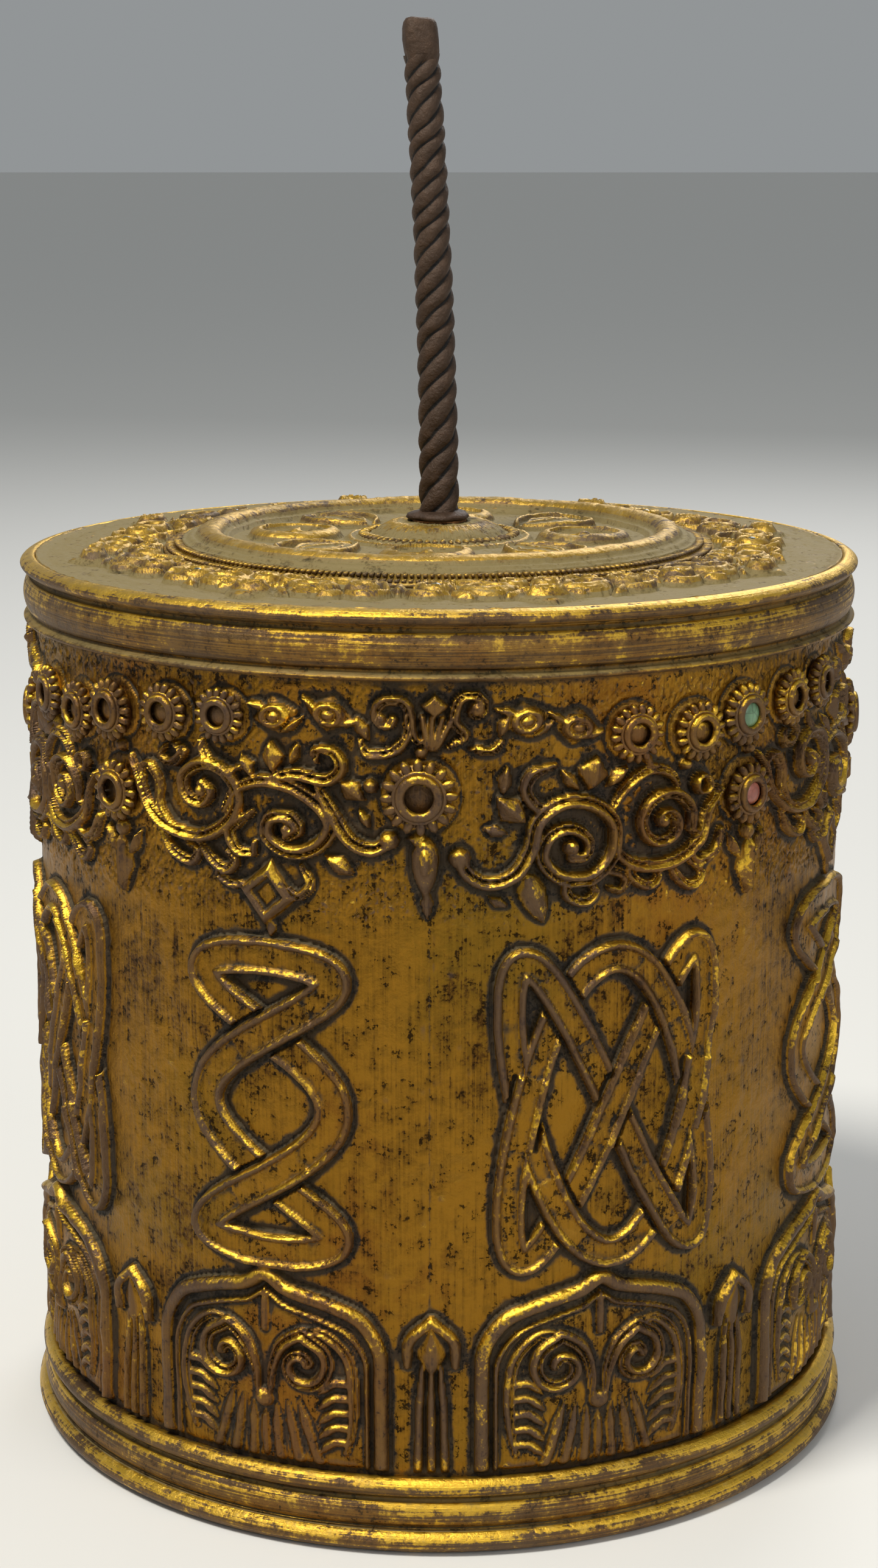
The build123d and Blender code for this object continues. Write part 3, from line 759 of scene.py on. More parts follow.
wall.leaf(9.0 * ARC, 118.2, 2.2, 3.1, 2.1, 48)
wall.leaf(8.2 * ARC, 122.6, 1.2, 2.3, 1.6, -10)
wall.leaf(7.0 * ARC, 115.0, 1.0, 2.0, 1.5, 78)
wall.leaf(19.6 * ARC, 123.2, 2.5, 2.8, 2.1, -14)
wall.leaf(22.9 * ARC, 122.4, 1.3, 2.4, 1.7, -48)
wall.leaf(16.6 * ARC, 122.2, 1.1, 2.3, 1.6, 42)
scroll(1.5, 1.7, (22.2, 117.4), (24.0, 120.6), (27.0, 122.8), (30.2, 122.2), (31.6, 120.0), (30.2, 118.9))
wall.leaf(27.2 * ARC, 124.4, 1.0, 2.0, 1.5, 30)
bead(35.5, 119.7, 1.8, 2.0, "ring")
bead(33.0, 123.0, 1.0, 1.6)
wall.drop(12.0 * ARC, 104.6, 2.9, 4.3, 2.1, 200, facets=True)
scroll(1.5, 1.7, (15.8, 107.4), (16.4, 104.6), (18.6, 103.6), (20.0, 105.2), (18.8, 106.4))
scroll(1.5, 1.7, (19.4, 107.4), (21.8, 108.2), (24.2, 106.8), (23.6, 104.9), (21.9, 105.3))
scroll(1.5, 1.7, (24.2, 109.4), (25.2, 106.6), (27.6, 105.0), (29.0, 106.4), (27.8, 107.6))
scroll(1.5, 1.7, (30.4, 108.4), (32.2, 105.4), (34.4, 104.0), (36.0, 105.6), (34.6, 107.0))
wall.leaf(7.4 * ARC, 104.2, 0.9, 2.0, 1.3, 60)
# jewelled stem, and the scrolls each side of it
for stem in (-46.0,):
    bead(stem, 123.9, 1.1, 1.7)
    bead(stem, 110.9, 1.5, 1.9)
    wall.leaf(stem * ARC, 105.6, 2.3, 5.0, 2.3)
    for hand in (-1, 1):
        wall.leaf((stem + hand * 2.4) * ARC, 108.8, 1.0, 2.6, 1.5, -28 * hand)
scroll(1.6, 1.8, (-50.4, 111.8), (-52.4, 108.6), (-55.0, 107.6), (-56.4, 109.6), (-54.8, 110.6))
scroll(1.5, 1.7, (39.2, 112.0), (38.0, 108.8), (35.8, 108.6))
# shallow beds under the settings
for angle, z, radius in ((-47.0, 129.6, 4.9), (-37.2, 130.3, 4.6), (-28.2, 131.0, 4.3), (25.2, 128.8, 4.6), (34.6, 128.0, 4.8),
                         (-2.4, 120.4, 5.9), (-46.2, 117.4, 5.2)):
    wall.oval(angle * ARC, z, radius, radius, 0.7)
wall.chase(0.32, 0.34)


# ---- meshes -------------------------------------------------------------------------------
def mesh_of(name, places, faces):
    """A mesh from places in millimetres and an array, or arrays, of faces."""
    mesh = bpy.data.meshes.new(name)
    sets = [np.asarray(f) for f in (faces if isinstance(faces, (list, tuple)) else [faces])]
    sets = [f.reshape(1, -1) if f.ndim == 1 else f for f in sets]
    places = np.asarray(places, float) * MM
    mesh.vertices.add(len(places))
    mesh.vertices.foreach_set("co", places.ravel())
    corners = np.concatenate([f.ravel() for f in sets])
    counts = np.concatenate([np.full(len(f), f.shape[1]) for f in sets])
    mesh.loops.add(len(corners))
    mesh.loops.foreach_set("vertex_index", corners)
    mesh.polygons.add(len(counts))
    mesh.polygons.foreach_set("loop_start", np.concatenate([[0], np.cumsum(counts)[:-1]]))
    mesh.polygons.foreach_set("use_smooth", np.ones(len(counts), bool))
    mesh.update(calc_edges=True)
    return mesh


def write(mesh, name, values):
    layer = mesh.attributes.new(name, "FLOAT", "POINT")
    layer.data.foreach_set("value", np.asarray(values, np.float32))


def worn_by_shape(mesh, rounds=2, gain=5.0):
    """Write how far each place of a mesh stands above its neighbours: above 0 on ridges, below in hollows."""
    n = len(mesh.vertices)
    co = np.empty(n * 3)
    no = np.empty(n * 3)
    mesh.vertices.foreach_get("co", co)
    mesh.vertices.foreach_get("normal", no)
    co, no = co.reshape(-1, 3), no.reshape(-1, 3)
    ends = np.empty(len(mesh.edges) * 2, np.int64)
    mesh.edges.foreach_get("vertices", ends)
    a, b = ends[::2], ends[1::2]
    share = np.maximum(np.bincount(a, minlength=n) + np.bincount(b, minlength=n), 1)

    def averaged(values):
        return (np.bincount(a, values[b], n) + np.bincount(b, values[a], n)) / share
    smooth = co.copy()
    for _ in range(rounds * 2):
        smooth = np.stack([averaged(smooth[:, k]) for k in range(3)], 1)
    lift = ((co - smooth) * no).sum(1) / MM
    write(mesh, "hollow", np.clip(lift * gain, -1, 1))


def place(name, mesh, material, body, slot, replaces=(), sharp=None):
    """Put a finished mesh into the scene as a piece of a body."""
    obj = bpy.data.objects.new(name, mesh)
    bpy.context.scene.collection.objects.link(obj)
    mesh.materials.clear()
    mesh.materials.append(material)
    if sharp:
        mesh.set_sharp_from_angle(angle=radians(sharp))
    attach(obj, body)
    if replaces:
        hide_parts(*replaces)
    return obj


def outward(mesh):
    """Turn every face of a closed mesh to look out."""
    import bmesh
    work = bmesh.new()
    work.from_mesh(mesh)
    bmesh.ops.recalc_face_normals(work, faces=work.faces)
    work.to_mesh(mesh)
    work.free()


def turned(name, outline, steps, shift=None):
    """A lathe shape from (radius, height) points: an outline that starts and ends on the axis, or a closed loop."""
    n = len(outline)
    polar = [outline[0][0] < 1e-6, outline[-1][0] < 1e-6]
    places, rings = [], []
    turn = np.arange(steps) * 2 * pi / steps
    for k, (r, z) in enumerate(outline):
        if r < 1e-6:
            rings.append([len(places)] * steps)
            places.append((0.0, 0.0, z))
        else:
            rings.append(list(range(len(places), len(places) + steps)))
            places += [(r * sin(t), -r * cos(t), z) for t in turn]
    rings = np.array(rings)
    quads, fans = [], []
    pairs = [(k, k + 1) for k in range(n - 1)] + ([] if any(polar) else [(n - 1, 0)])
    for k, m in pairs:
        a, b = rings[k], rings[m]
        if a[0] == a[1]:
            fans.append(np.stack([a, np.roll(b, -1), b], 1))
        elif b[0] == b[1]:
            fans.append(np.stack([a, np.roll(a, -1), b], 1))
        else:
            quads.append(np.stack([a, np.roll(a, -1), np.roll(b, -1), b], 1))
    places = np.array(places)
    if shift is not None:
        places = shift(places)
    faces = [np.concatenate(s) for s in (quads, fans) if s]
    mesh = mesh_of(name, places, faces)
    outward(mesh)
    return mesh


def hand_worked(amount, seed):
    """Slow waves round a lathe shape, as hammered and soldered work has."""
    local = np.random.default_rng(seed)
    terms = [(k, local.uniform(0, 2 * pi), local.uniform(0.4, 1.0) / k ** 0.6, local.uniform(-0.25, 0.25)) for k in (2, 3, 5, 8, 13, 21, 34)]

    def shift(places):
        turn = np.arctan2(places[:, 0], -places[:, 1])
        r = np.hypot(places[:, 0], places[:, 1])
        wave = sum(s * np.sin(k * turn + p + lean * places[:, 2]) for k, p, s, lean in terms) / 2.4
        fall = np.clip((r - 6) / 6, 0, 1)
        grow = 1 + fall * amount * wave / np.maximum(r, 1)
        return np.stack([places[:, 0] * grow, places[:, 1] * grow, places[:, 2]], 1)
    return shift


def moulding(*parts):
    """The outline of a moulding going up: each part is (low, high, radius, swell), swelling in a half wave."""
    points = []
    for bottom, top, radius, swell in parts:
        count = 13 if abs(swell) > 0.5 else 7
        for k in range(count):
            share = k / (count - 1)
            points.append((radius + swell * sin(pi * share) ** 0.75, bottom + (top - bottom) * share))
    return points


# ---- the wall's sheet ---------------------------------------------------------------------
whole = np.tile(wall.height, (1, 4))
beside = np.tile(wall.edge, (1, 4))
turn = radians(-46.5) + 2 * pi * np.arange(COLUMNS) / COLUMNS
high_z = ROWS[:, None] * np.ones(COLUMNS)


def rough_field(rows, columns, cells_down, cells_round, seed):
    """A smooth random field that closes round the drum."""
    local = np.random.default_rng(seed)
    grid = local.normal(0, 1, (cells_down + 3, cells_round))
    v = np.linspace(0, cells_down, rows)[:, None]
    u = np.linspace(0, cells_round, columns, endpoint=False)[None, :]
    i, j = np.floor(v).astype(int), np.floor(u).astype(int)
    a, b = v - i, u - j
    a, b = a * a * (3 - 2 * a), b * b * (3 - 2 * b)
    j2 = (j + 1) % cells_round
    return (grid[i, j] * (1 - a) * (1 - b) + grid[i + 1, j] * a * (1 - b)
            + grid[i, j2] * (1 - a) * b + grid[i + 1, j2] * a * b)


rows = len(ROWS)
band = np.clip((high_z - 99) / 4, 0, 1) * np.clip((137.4 - high_z) / 1.5, 0, 1)
bare = np.clip((beside - 0.5) / 1.0, 0, 1)
stipple = rough_field(rows, COLUMNS, 300, 1150, 1)
lumps = rough_field(rows, COLUMNS, 26, 90, 2)
swells = rough_field(rows, COLUMNS, 7, 24, 3)
hammer = rough_field(rows, COLUMNS, 90, 300, 4)
inside = np.clip((high_z - 12.4) / 1.0, 0, 1) * np.clip((137.4 - high_z) / 1.0, 0, 1)
whole = whole * (1 + 0.10 * lumps * (whole > 0.3))
whole = whole + inside * (0.13 * stipple * band * bare + 0.05 * hammer + 0.06 * lumps + 0.16 * swells)
seam = np.exp(-((WALL * (turn + radians(1.2))) / 0.28) ** 2)[None, :] + np.exp(-((WALL * (turn - 2 * pi + radians(1.2))) / 0.28) ** 2)[None, :]
whole = whole - 0.22 * seam * np.clip(beside - 0.6, 0, 1)
whole = np.clip(whole, -0.75, 3.3) * inside
sheet_relief = Relief(high_z, high_z, around=1.0)
cavity = whole - sheet_relief.softened(whole, 3)
broad_cavity = whole - sheet_relief.softened(whole, 9)
hollow = np.clip(cavity * 1.35 + broad_cavity * 0.15, -1, 1)
hollow -= 0.05 * np.clip(1 - beside / 1.6, 0, 1) * (beside > 0)
# painted shade: the hollow field is darkened along the petals' foot above the base moulding and under the lid's rim,
# and the gilt finish paints it black
foot_shadow = np.clip(1 - np.abs(high_z - 12.2) / 1.2, 0, 1) + np.clip((high_z - 134.5) / 3.0, 0, 1) * 0.7
hollow -= 0.35 * foot_shadow


def wall_places(height):
    r = WALL + height
    return np.stack([r * np.sin(turn), -r * np.cos(turn), high_z], -1)


skin = wall_places(whole)
down = np.gradient(skin, axis=0)
along = np.stack([(np.roll(skin[..., k], -1, 1) - np.roll(skin[..., k], 1, 1)) / 2 for k in range(3)], -1)
facing = np.cross(along, down)
facing /= np.linalg.norm(facing, axis=2, keepdims=True)
PANELS = 8
span = COLUMNS // PANELS
for part in range(PANELS):
    columns = np.arange(part * span, (part + 1) * span + 1) % COLUMNS
    wide = len(columns)
    outer = skin[:, columns].reshape(-1, 3)
    t = turn[columns]
    inner = np.concatenate([np.stack([WALL_INNER * np.sin(t), -WALL_INNER * np.cos(t), np.full(wide, z)], 1) for z in (WALL_BOTTOM, WALL_TOP)])
    grid = np.arange(rows * wide).reshape(rows, wide)
    front = np.stack([grid[:-1, :-1], grid[:-1, 1:], grid[1:, 1:], grid[1:, :-1]], -1).reshape(-1, 4)
    low_in = rows * wide + np.arange(wide)
    top_in = low_in + wide
    back = np.stack([low_in[:-1], top_in[:-1], top_in[1:], low_in[1:]], 1)
    under = np.stack([grid[0, :-1], low_in[:-1], low_in[1:], grid[0, 1:]], 1)
    above = np.stack([grid[-1, :-1], grid[-1, 1:], top_in[1:], top_in[:-1]], 1)
    left = np.concatenate([grid[:, 0], [top_in[0], low_in[0]]])
    right = np.concatenate([grid[::-1, -1], [low_in[-1], top_in[-1]]])
    mesh = mesh_of(f"drum_wall_{part + 1}", np.concatenate([outer, inner]), [front, back, under, above, left, right])
    normals = np.concatenate([facing[:, columns].reshape(-1, 3), -np.concatenate([np.stack([np.sin(t), -np.cos(t), 0 * t], 1)] * 2)])
    # the hollow attribute carries the painted shade at the foot and under the rim as well as the hollows
    write(mesh, "hollow", np.concatenate([hollow[:, columns].ravel(), np.zeros(2 * wide)]))
    write(mesh, "raised", np.concatenate([whole[:, columns].ravel(), np.zeros(2 * wide)]))
    mesh.normals_split_custom_set_from_vertices(normals)
    place(f"drum_wall_{part + 1}", mesh, GILT, "drum", "gilt_copper", ("drum_shell",))


# ---- turned mouldings ---------------------------------------------------------------------
FLANGE = 58.0
base_outline = moulding((0.15, 3.5, 69.7, 1.3), (3.5, 3.95, 69.5, -0.35), (3.95, 8.1, 69.1, 0.85), (8.1, 8.9, 68.9, -0.45),
                        (8.9, BASE_TOP, 68.7, 1.35))
base_outline = [(FLANGE, 0.0), (69.4, 0.0)] + base_outline + [(67.55, BASE_TOP - 0.2), (67.5, 6.0), (67.5, 1.0), (FLANGE, 1.0)]
base = turned("base_moulding", base_outline, 540, hand_worked(0.13, 21))
worn_by_shape(base, 3, 2.6)
place("base_moulding", base, GILT_RIM, "drum", "gilt_copper", ("base_ring",))

rim_outline = moulding((RIM_BOTTOM, 138.7, 68.7, 0.8), (138.7, 139.5, 68.6, -0.35), (139.5, 144.8, 68.7, 0.75),
                       (144.8, 145.7, 68.5, -0.4), (145.7, 148.05, 68.5, 1.35))
rim_outline = [(RIM_INNER, RIM_BOTTOM)] + rim_outline + [(67.9, RIM_TOP), (67.4, 148.0), (67.2, 147.0), (RIM_INNER, 146.2)]
rim = turned("lid_moulding", rim_outline, 540, hand_worked(0.13, 22))
worn_by_shape(rim, 3, 2.6)
place("lid_moulding", rim, GILT_RIM, "lid", "gilt_copper", ("lid_rim",))

# ---- the lid's raised work ----------------------------------------------------------------


def polar(inner, outer, step, columns):
    radii = np.arange(inner, outer + step * 0.4, step)
    t = np.arange(columns) * 2 * pi / columns
    r, a = np.meshgrid(radii, t, indexing="ij")
    return r * np.sin(a), -r * np.cos(a), radii


def on_lid(angle, radius):
    return radius * sin(radians(angle)), -radius * cos(radians(angle))


def disc(name, relief, base_z, under_z, material, slot, nodes, seed, hollow_gain=1.2):
    """Close a polar relief into a sheet with a flat underside."""
    height = relief.height + 0.05 * rough_field(*relief.x.shape, 60, 260, seed) + 0.07 * rough_field(*relief.x.shape, 10, 40, seed + 1)
    upper = np.stack([relief.x, relief.y, base_z + height], -1)
    rows, wide = relief.x.shape
    lower = upper[[0, -1]].copy()
    lower[..., 2] = under_z
    grid = np.arange(rows * wide).reshape(rows, wide)
    bottom = rows * wide + np.arange(2 * wide).reshape(2, wide)

    def strip(a, b):
        return np.stack([a, np.roll(a, -1), np.roll(b, -1), b], 1)
    faces = [strip(grid[k + 1], grid[k]) for k in range(rows - 1)]
    faces += [strip(grid[0], bottom[0]), strip(bottom[1], grid[-1]), strip(bottom[0], bottom[1])]
    mesh = mesh_of(name, np.concatenate([upper.reshape(-1, 3), lower.reshape(-1, 3)]), [np.concatenate([f[:, ::-1] for f in faces])])
    cavity = (height - relief.softened(height, 3)) * hollow_gain + (height - relief.softened(height, 8)) * 0.4
    cavity -= 0.22 * np.clip(1 - relief.edge / 1.2, 0, 1) * (relief.edge > 0)
    write(mesh, "hollow", np.concatenate([np.clip(cavity, -1, 1).ravel(), np.zeros(2 * wide)]))
    write(mesh, "raised", np.concatenate([height.ravel(), np.zeros(2 * wide)]))
    return place(name, mesh, material, "lid", slot, nodes)


x, y, radii = polar(BAND_OUTER - 0.6, 67.3, 0.34, 1080)
top = Relief(x, y)
radial = np.hypot(x, y)
for k in range(MODULES):
    middle = LID_TURN + 45 * k

    def lid_stroke(width, height, *points, ends=(0.5, 0.6), form="bead"):
        top.stroke([on_lid(middle + a, r) for a, r in points], width, height, form, ends)
    for hand in (-1, 1):
        for a, r, size in ((6.0, 52.6, 3.0), (19.6, 50.0, 2.6)):
            px, py = on_lid(middle + hand * a, r)
            top.oval(px, py, size, size, 1.5, 0, "ring", 0.25)
            top.oval(px, py, size * 0.34, size * 0.34, 1.2)
        px, py = on_lid(middle + hand * 14.2, 53.8)
        top.oval(px, py, 4.6, 2.9, 1.6, middle + hand * 14.2, "ring", 0.15)
        top.oval(px, py, 2.2, 0.9, 0.9, middle + hand * 14.2)
        lid_stroke(1.5, 1.6, (hand * 10.4, 54.2), (hand * 12.2, 56.6), (hand * 15.4, 57.0), (hand * 18.0, 54.8), form="scroll")
        lid_stroke(1.6, 1.7, (hand * 9.4, 50.0), (hand * 8.6, 47.8), (hand * 11.6, 46.9), (hand * 15.2, 48.2), (hand * 18.6, 53.0),
                   (hand * 22.0, 54.6), form="scroll")
        lid_stroke(1.3, 1.5, (hand * 2.2, 50.6), (hand * 3.4, 48.2), (hand * 5.6, 48.0), (hand * 6.4, 49.6))
        lid_stroke(1.3, 1.5, (hand * 1.4, 54.2), (hand * 3.2, 56.4), (hand * 5.4, 57.0), (hand * 7.8, 56.0))
        px, py = on_lid(middle + hand * 9.9, 57.4)
        top.leaf(px, py, 1.3, 2.4, 1.5, middle + hand * 9.9 + 50 * hand)
    px, py = on_lid(middle, 51.8)
    top.leaf(px, py, 1.5, 3.2, 1.7, middle)
    px, py = on_lid(middle + 22.5, 58.4)
    top.leaf(px, py, 4.4, 4.2, 0.8, middle + 22.5, ridge=False, point=1.7)
    top.oval(px, py, 3.3, 2.4, 1.2, middle + 22.5, "ring", 0.45)
    top.oval(px, py, 1.2, 0.9, 1.3, middle + 22.5)
    for hand in (-1, 1):
        px, py = on_lid(middle + 22.5 + hand * 4.6, 57.2)
        top.leaf(px, py, 1.0, 2.4, 1.4, middle + 22.5 + hand * 55)
top.chase(0.25, 0.4)
edge = np.clip((radial - 65.0) / 2.3, 0, 1)
top.height = top.height * np.clip((66.0 - radial) / 2, 0, 1) + 0.34 * edge ** 2
disc("lid_top_sheet", top, LID_TOP, LID_UNDER + 0.1, GILT_LID, "dusty_gilt",
     ("lid_plate", "lid_crescents", "lid_leaf_settings", "lid_round_settings"), 31)

x, y, radii = polar(BUSH_HOLE, MEDALLION + 0.9, 0.34, 840)
rose = Relief(x, y)
radial = np.hypot(x, y)
FLOOR = MEDALLION_FLOOR - LID_TOP
for k in range(4):
    bearing = LID_TURN + 2 + 90 * k
    px, py = on_lid(bearing, 24.3)
    rose.oval(px, py, 7.9, 7.9, 1.6, 0, "ring", 0.0)
    spot, dx, dy = rose.near(px, py, 7)
    rose.height[spot] -= 0.75 * (np.hypot(dx, dy) < 5.6)
    for turn_by in (0, 90):
        ax, ay = on_lid(bearing + turn_by, 6.2)
        rose.stroke([(px - ax, py - ay), (px, py), (px + ax, py + ay)], 1.1, 1.0, "bead", (1, 1))
    rose.oval(px, py, 1.5, 1.5, 1.5)
    px, py = on_lid(bearing + 45, 25.0)
    rose.leaf(px, py, 5.2, 7.4, 0.9, bearing + 45, ridge=False)
    for hand in (-1, 1):
        rose.stroke([on_lid(bearing + 45 + hand * a, r) for a, r in ((1, 33.0), (9, 31.0), (13, 26.5), (10, 21.5), (3, 18.4))],
                    1.5, 1.4, "bead", (0.5, 0.5))
        rose.stroke([on_lid(bearing + 45 + hand * a, r) for a, r in ((1.5, 30.0), (6, 27.0), (6, 23.4), (1.0, 20.4))],
                    1.2, 1.1, "bead", (0.5, 0.5))
    rose.stroke([on_lid(bearing + 45, r) for r in (19.4, 24.0, 29.4)], 1.2, 1.3, "bead", (0.5, 0.8))
rose.chase(0.25, 0.45)


def swell(inner, outer, rise):
    share = np.clip((radial - inner) / (outer - inner), 0, 1)
    return rise * np.sqrt(np.clip(1 - (2 * share - 1) ** 2, 0, 1))


ring = np.maximum(swell(34.9, 36.3, 0.9), np.maximum(0.5 * (radial > 35.6) + swell(36.1, 40.9, 2.0), swell(40.4, 42.3, 1.1)))
boss = np.where(radial < 14.5, np.clip((14.5 - radial) / 1.2, 0, 1) * 0.9 + 2.1 * np.clip((11.2 - radial) / 3.2, 0, 1) ** 0.7, 0)
ledge = swell(14.2, 15.6, 0.7)
rose.height = np.maximum(rose.height, np.maximum(np.maximum(ring * (radial > 34.5), boss), ledge)) + FLOOR
rose.height = np.minimum(rose.height, BOSS_TOP - LID_TOP - 0.12)
disc("lid_medallion_raised", rose, LID_TOP, LID_TOP + 0.02, GILT_LID, "dusty_gilt", ("lid_medallion", "lid_boss"), 41)

band_outline = [(MEDALLION + 0.9, LID_TOP + 0.05), (BAND_OUTER, LID_TOP + 0.05), (BAND_OUTER, LID_TOP + 0.7), (44.9, LID_TOP + 1.0),
                (44.4, LID_TOP + 1.1), (MEDALLION + 0.9, LID_TOP + 1.9)]
band_mesh = turned("lid_band", band_outline, 360)
worn_by_shape(band_mesh)
place("lid_band", band_mesh, GILT_LID, "lid", "gilt_copper", ("lid_notched_band",))


# ---- repeating work, grown by geometry nodes ----------------------------------------------
class Growth(Nodes):
    """A geometry tree with named sizes that grows repeating work on a piece."""

    def __init__(self, name, **sizes):
        super().__init__(bpy.data.node_groups.new(name, "GeometryNodeTree"))
        face = self.tree.interface
        face.new_socket("Geometry", in_out="INPUT", socket_type="NodeSocketGeometry")
        face.new_socket("Geometry", in_out="OUTPUT", socket_type="NodeSocketGeometry")
        kinds = {int: "NodeSocketInt", float: "NodeSocketFloat"}
        for key, value in sizes.items():
            item = face.new_socket(key, in_out="INPUT", socket_type=kinds[type(value)])
            item.default_value = value
        face.new_socket("Material", in_out="INPUT", socket_type="NodeSocketMaterial")
        start = self.tree.nodes.new("NodeGroupInput")
        self.given = {s.name: Wire(self, s) for s in start.outputs if s.name}

    def vector(self, x=0.0, y=0.0, z=0.0):
        return self.put("ShaderNodeCombineXYZ", {}, {0: x, 1: y, 2: z})

    def close(self, geometry):
        """End the tree: instances made real, and the finish put on."""
        real = self.put("GeometryNodeRealizeInstances", {}, {0: geometry})
        done = self.put("GeometryNodeSetMaterial", {}, {"Geometry": real, "Material": self.given["Material"]})
        end = self.tree.nodes.new("NodeGroupOutput")
        self.tree.links.new(done.socket, end.inputs[0])

    def grow(self, name, seedling, material, body, slot, replaces=(), sharp=None, gain=5.0, **sizes):
        """Run the tree on a seedling mesh and keep the result as a plain piece."""
        obj = bpy.data.objects.new(name + "_seedling", seedling)
        bpy.context.scene.collection.objects.link(obj)
        modifier = obj.modifiers.new("growth", "NODES")
        modifier.node_group = self.tree
        for item in self.tree.interface.items_tree:
            if item.in_out == "INPUT" and item.name in sizes:
                modifier[item.identifier] = sizes[item.name]
            if item.in_out == "INPUT" and item.name == "Material":
                modifier[item.identifier] = material
        seen = obj.evaluated_get(bpy.context.evaluated_depsgraph_get())
        mesh = bpy.data.meshes.new_from_object(seen)
        obj.modifiers.clear()
        bpy.data.objects.remove(obj)
        mesh.name = name
        mesh.polygons.foreach_set("use_smooth", np.ones(len(mesh.polygons), bool))
        worn_by_shape(mesh, 1, gain)
        return place(name, mesh, material, body, slot, replaces, sharp)


def seeds(name, spots):
    """Points in millimetres, each with the way it faces and a size, for work to be set on."""
    mesh = mesh_of_points(name, [s[0] for s in spots])
    layer = mesh.attributes.new("facing", "FLOAT_VECTOR", "POINT")
    layer.data.foreach_set("vector", np.array([s[1] for s in spots], np.float32).ravel())
    write(mesh, "size", [s[2] for s in spots])
    return mesh


def mesh_of_points(name, places):
    mesh = bpy.data.meshes.new(name)
    mesh.from_pydata([tuple(c * MM for c in p) for p in places], [], [])
    return mesh


# a circle of small blocks or beads, lying flat about the axis
crown = Growth("crown", Count=60, Radius=0.01, Height=0.15, Length=0.001, Width=0.001, Depth=0.001, Rounded=1.0)
g = crown.given
line = crown.put("GeometryNodeMeshCircle", {}, {"Vertices": g["Count"], "Radius": g["Radius"]})
line = crown.put("GeometryNodeTransform", {}, {"Geometry": line, "Translation": crown.vector(z=g["Height"])})
outwards = crown.put("ShaderNodeVectorMath", {"operation": "MULTIPLY"},
                     {0: crown.put("GeometryNodeInputPosition", {}, {}), 1: (1.0, 1.0, 0.0)})
facing_out = crown.put("FunctionNodeAlignEulerToVector", {"axis": "X", "pivot_axis": "Z"}, {"Vector": outwards})
ball = crown.put("GeometryNodeMeshUVSphere", {}, {"Segments": 8, "Rings": 5, "Radius": 0.5})
block = crown.put("GeometryNodeMeshCube", {}, {"Size": (1.0, 1.0, 1.0)})
shape = crown.put("GeometryNodeSwitch", {"input_type": "GEOMETRY"},
                  {"Switch": crown.put("FunctionNodeCompare", {"operation": "GREATER_THAN"}, {0: g["Rounded"], 1: 0.5}), "False": block, "True": ball})
spread = crown.put("FunctionNodeRandomValue", {"data_type": "FLOAT"}, {2: 0.82, 3: 1.15, "Seed": 5}, 1)
scale = crown.vector(g["Length"], g["Width"] * spread, g["Depth"] * spread)
crown.close(crown.put("GeometryNodeInstanceOnPoints", {}, {"Points": line, "Instance": shape, "Rotation": facing_out, "Scale": scale}))
nothing = mesh_of_points("nothing", [(0, 0, 0)])
for row, (count, radius, height, length, width, depth, rounded) in enumerate((
        (62, 12.6, MEDALLION_FLOOR + 0.9, 2.0, 1.0, 1.1, 1.0),
        (264, 45.0, LID_TOP + 1.05, 1.5, 0.62, 0.55, 0.0),
        (264, 43.7, LID_TOP + 1.75, 1.3, 0.55, 0.5, 0.0))):
    crown.grow(f"lid_beading_{row + 1}", nothing.copy(), GILT_LID, "lid", "gilt_copper", Count=count, Radius=radius * MM, Height=height * MM,
               Length=length * MM, Width=width * MM, Depth=depth * MM, Rounded=rounded)

# rosettes: notched petals round a bezel
petalled = Growth("petalled", Petals=15, Seat=0.48, Fill=1.0)
g = petalled.given
circle = petalled.put("GeometryNodeMeshCircle", {}, {"Vertices": g["Petals"], "Radius": 0.74})
outwards = petalled.put("GeometryNodeInputPosition", {}, {})
turned_out = petalled.put("FunctionNodeAlignEulerToVector", {"axis": "X", "pivot_axis": "Z"}, {"Vector": outwards})
petal = petalled.put("GeometryNodeMeshUVSphere", {}, {"Segments": 8, "Rings": 5, "Radius": 0.5})
petals = petalled.put("GeometryNodeInstanceOnPoints", {}, {"Points": circle, "Instance": petal, "Rotation": turned_out, "Scale": (0.50, 0.27, 0.36)})
petals = petalled.put("GeometryNodeTransform", {}, {"Geometry": petals, "Translation": (0.0, 0.0, 0.13)})


def hoop(radius, wire, lift):
    path = petalled.put("GeometryNodeCurvePrimitiveCircle", {}, {"Resolution": 28, "Radius": radius})
    section = petalled.put("GeometryNodeCurvePrimitiveCircle", {}, {"Resolution": 8, "Radius": wire})
    tube = petalled.put("GeometryNodeCurveToMesh", {}, {"Curve": path, "Profile Curve": section})
    return petalled.put("GeometryNodeTransform", {}, {"Geometry": tube, "Translation": (0.0, 0.0, lift)})


join = petalled.tree.nodes.new("GeometryNodeJoinGeometry")
backing = petalled.put("GeometryNodeMeshCylinder", {}, {"Vertices": 28, "Radius": 0.80, "Depth": 0.22})
cup = petalled.put("GeometryNodeMeshUVSphere", {}, {"Segments": 20, "Rings": 8, "Radius": 0.40})
cup = petalled.put("GeometryNodeTransform", {}, {"Geometry": cup, "Translation": (0.0, 0.0, 0.06), "Scale": petalled.vector(g["Fill"], g["Fill"], g["Fill"] * 0.5)})
for part in (petals, cup, hoop(g["Seat"], 0.12, 0.32), hoop(g["Seat"] + 0.14, 0.07, 0.24), backing):
    petalled.tree.links.new(part.socket, join.inputs[0])
size = petalled.put("GeometryNodeInputNamedAttribute", {"data_type": "FLOAT"}, {"Name": "size"})
way = petalled.put("GeometryNodeInputNamedAttribute", {"data_type": "FLOAT_VECTOR"}, {"Name": "facing"})
stand = petalled.put("FunctionNodeAlignEulerToVector", {"axis": "Z"}, {"Vector": way})
rosette = Wire(petalled, join.outputs[0])
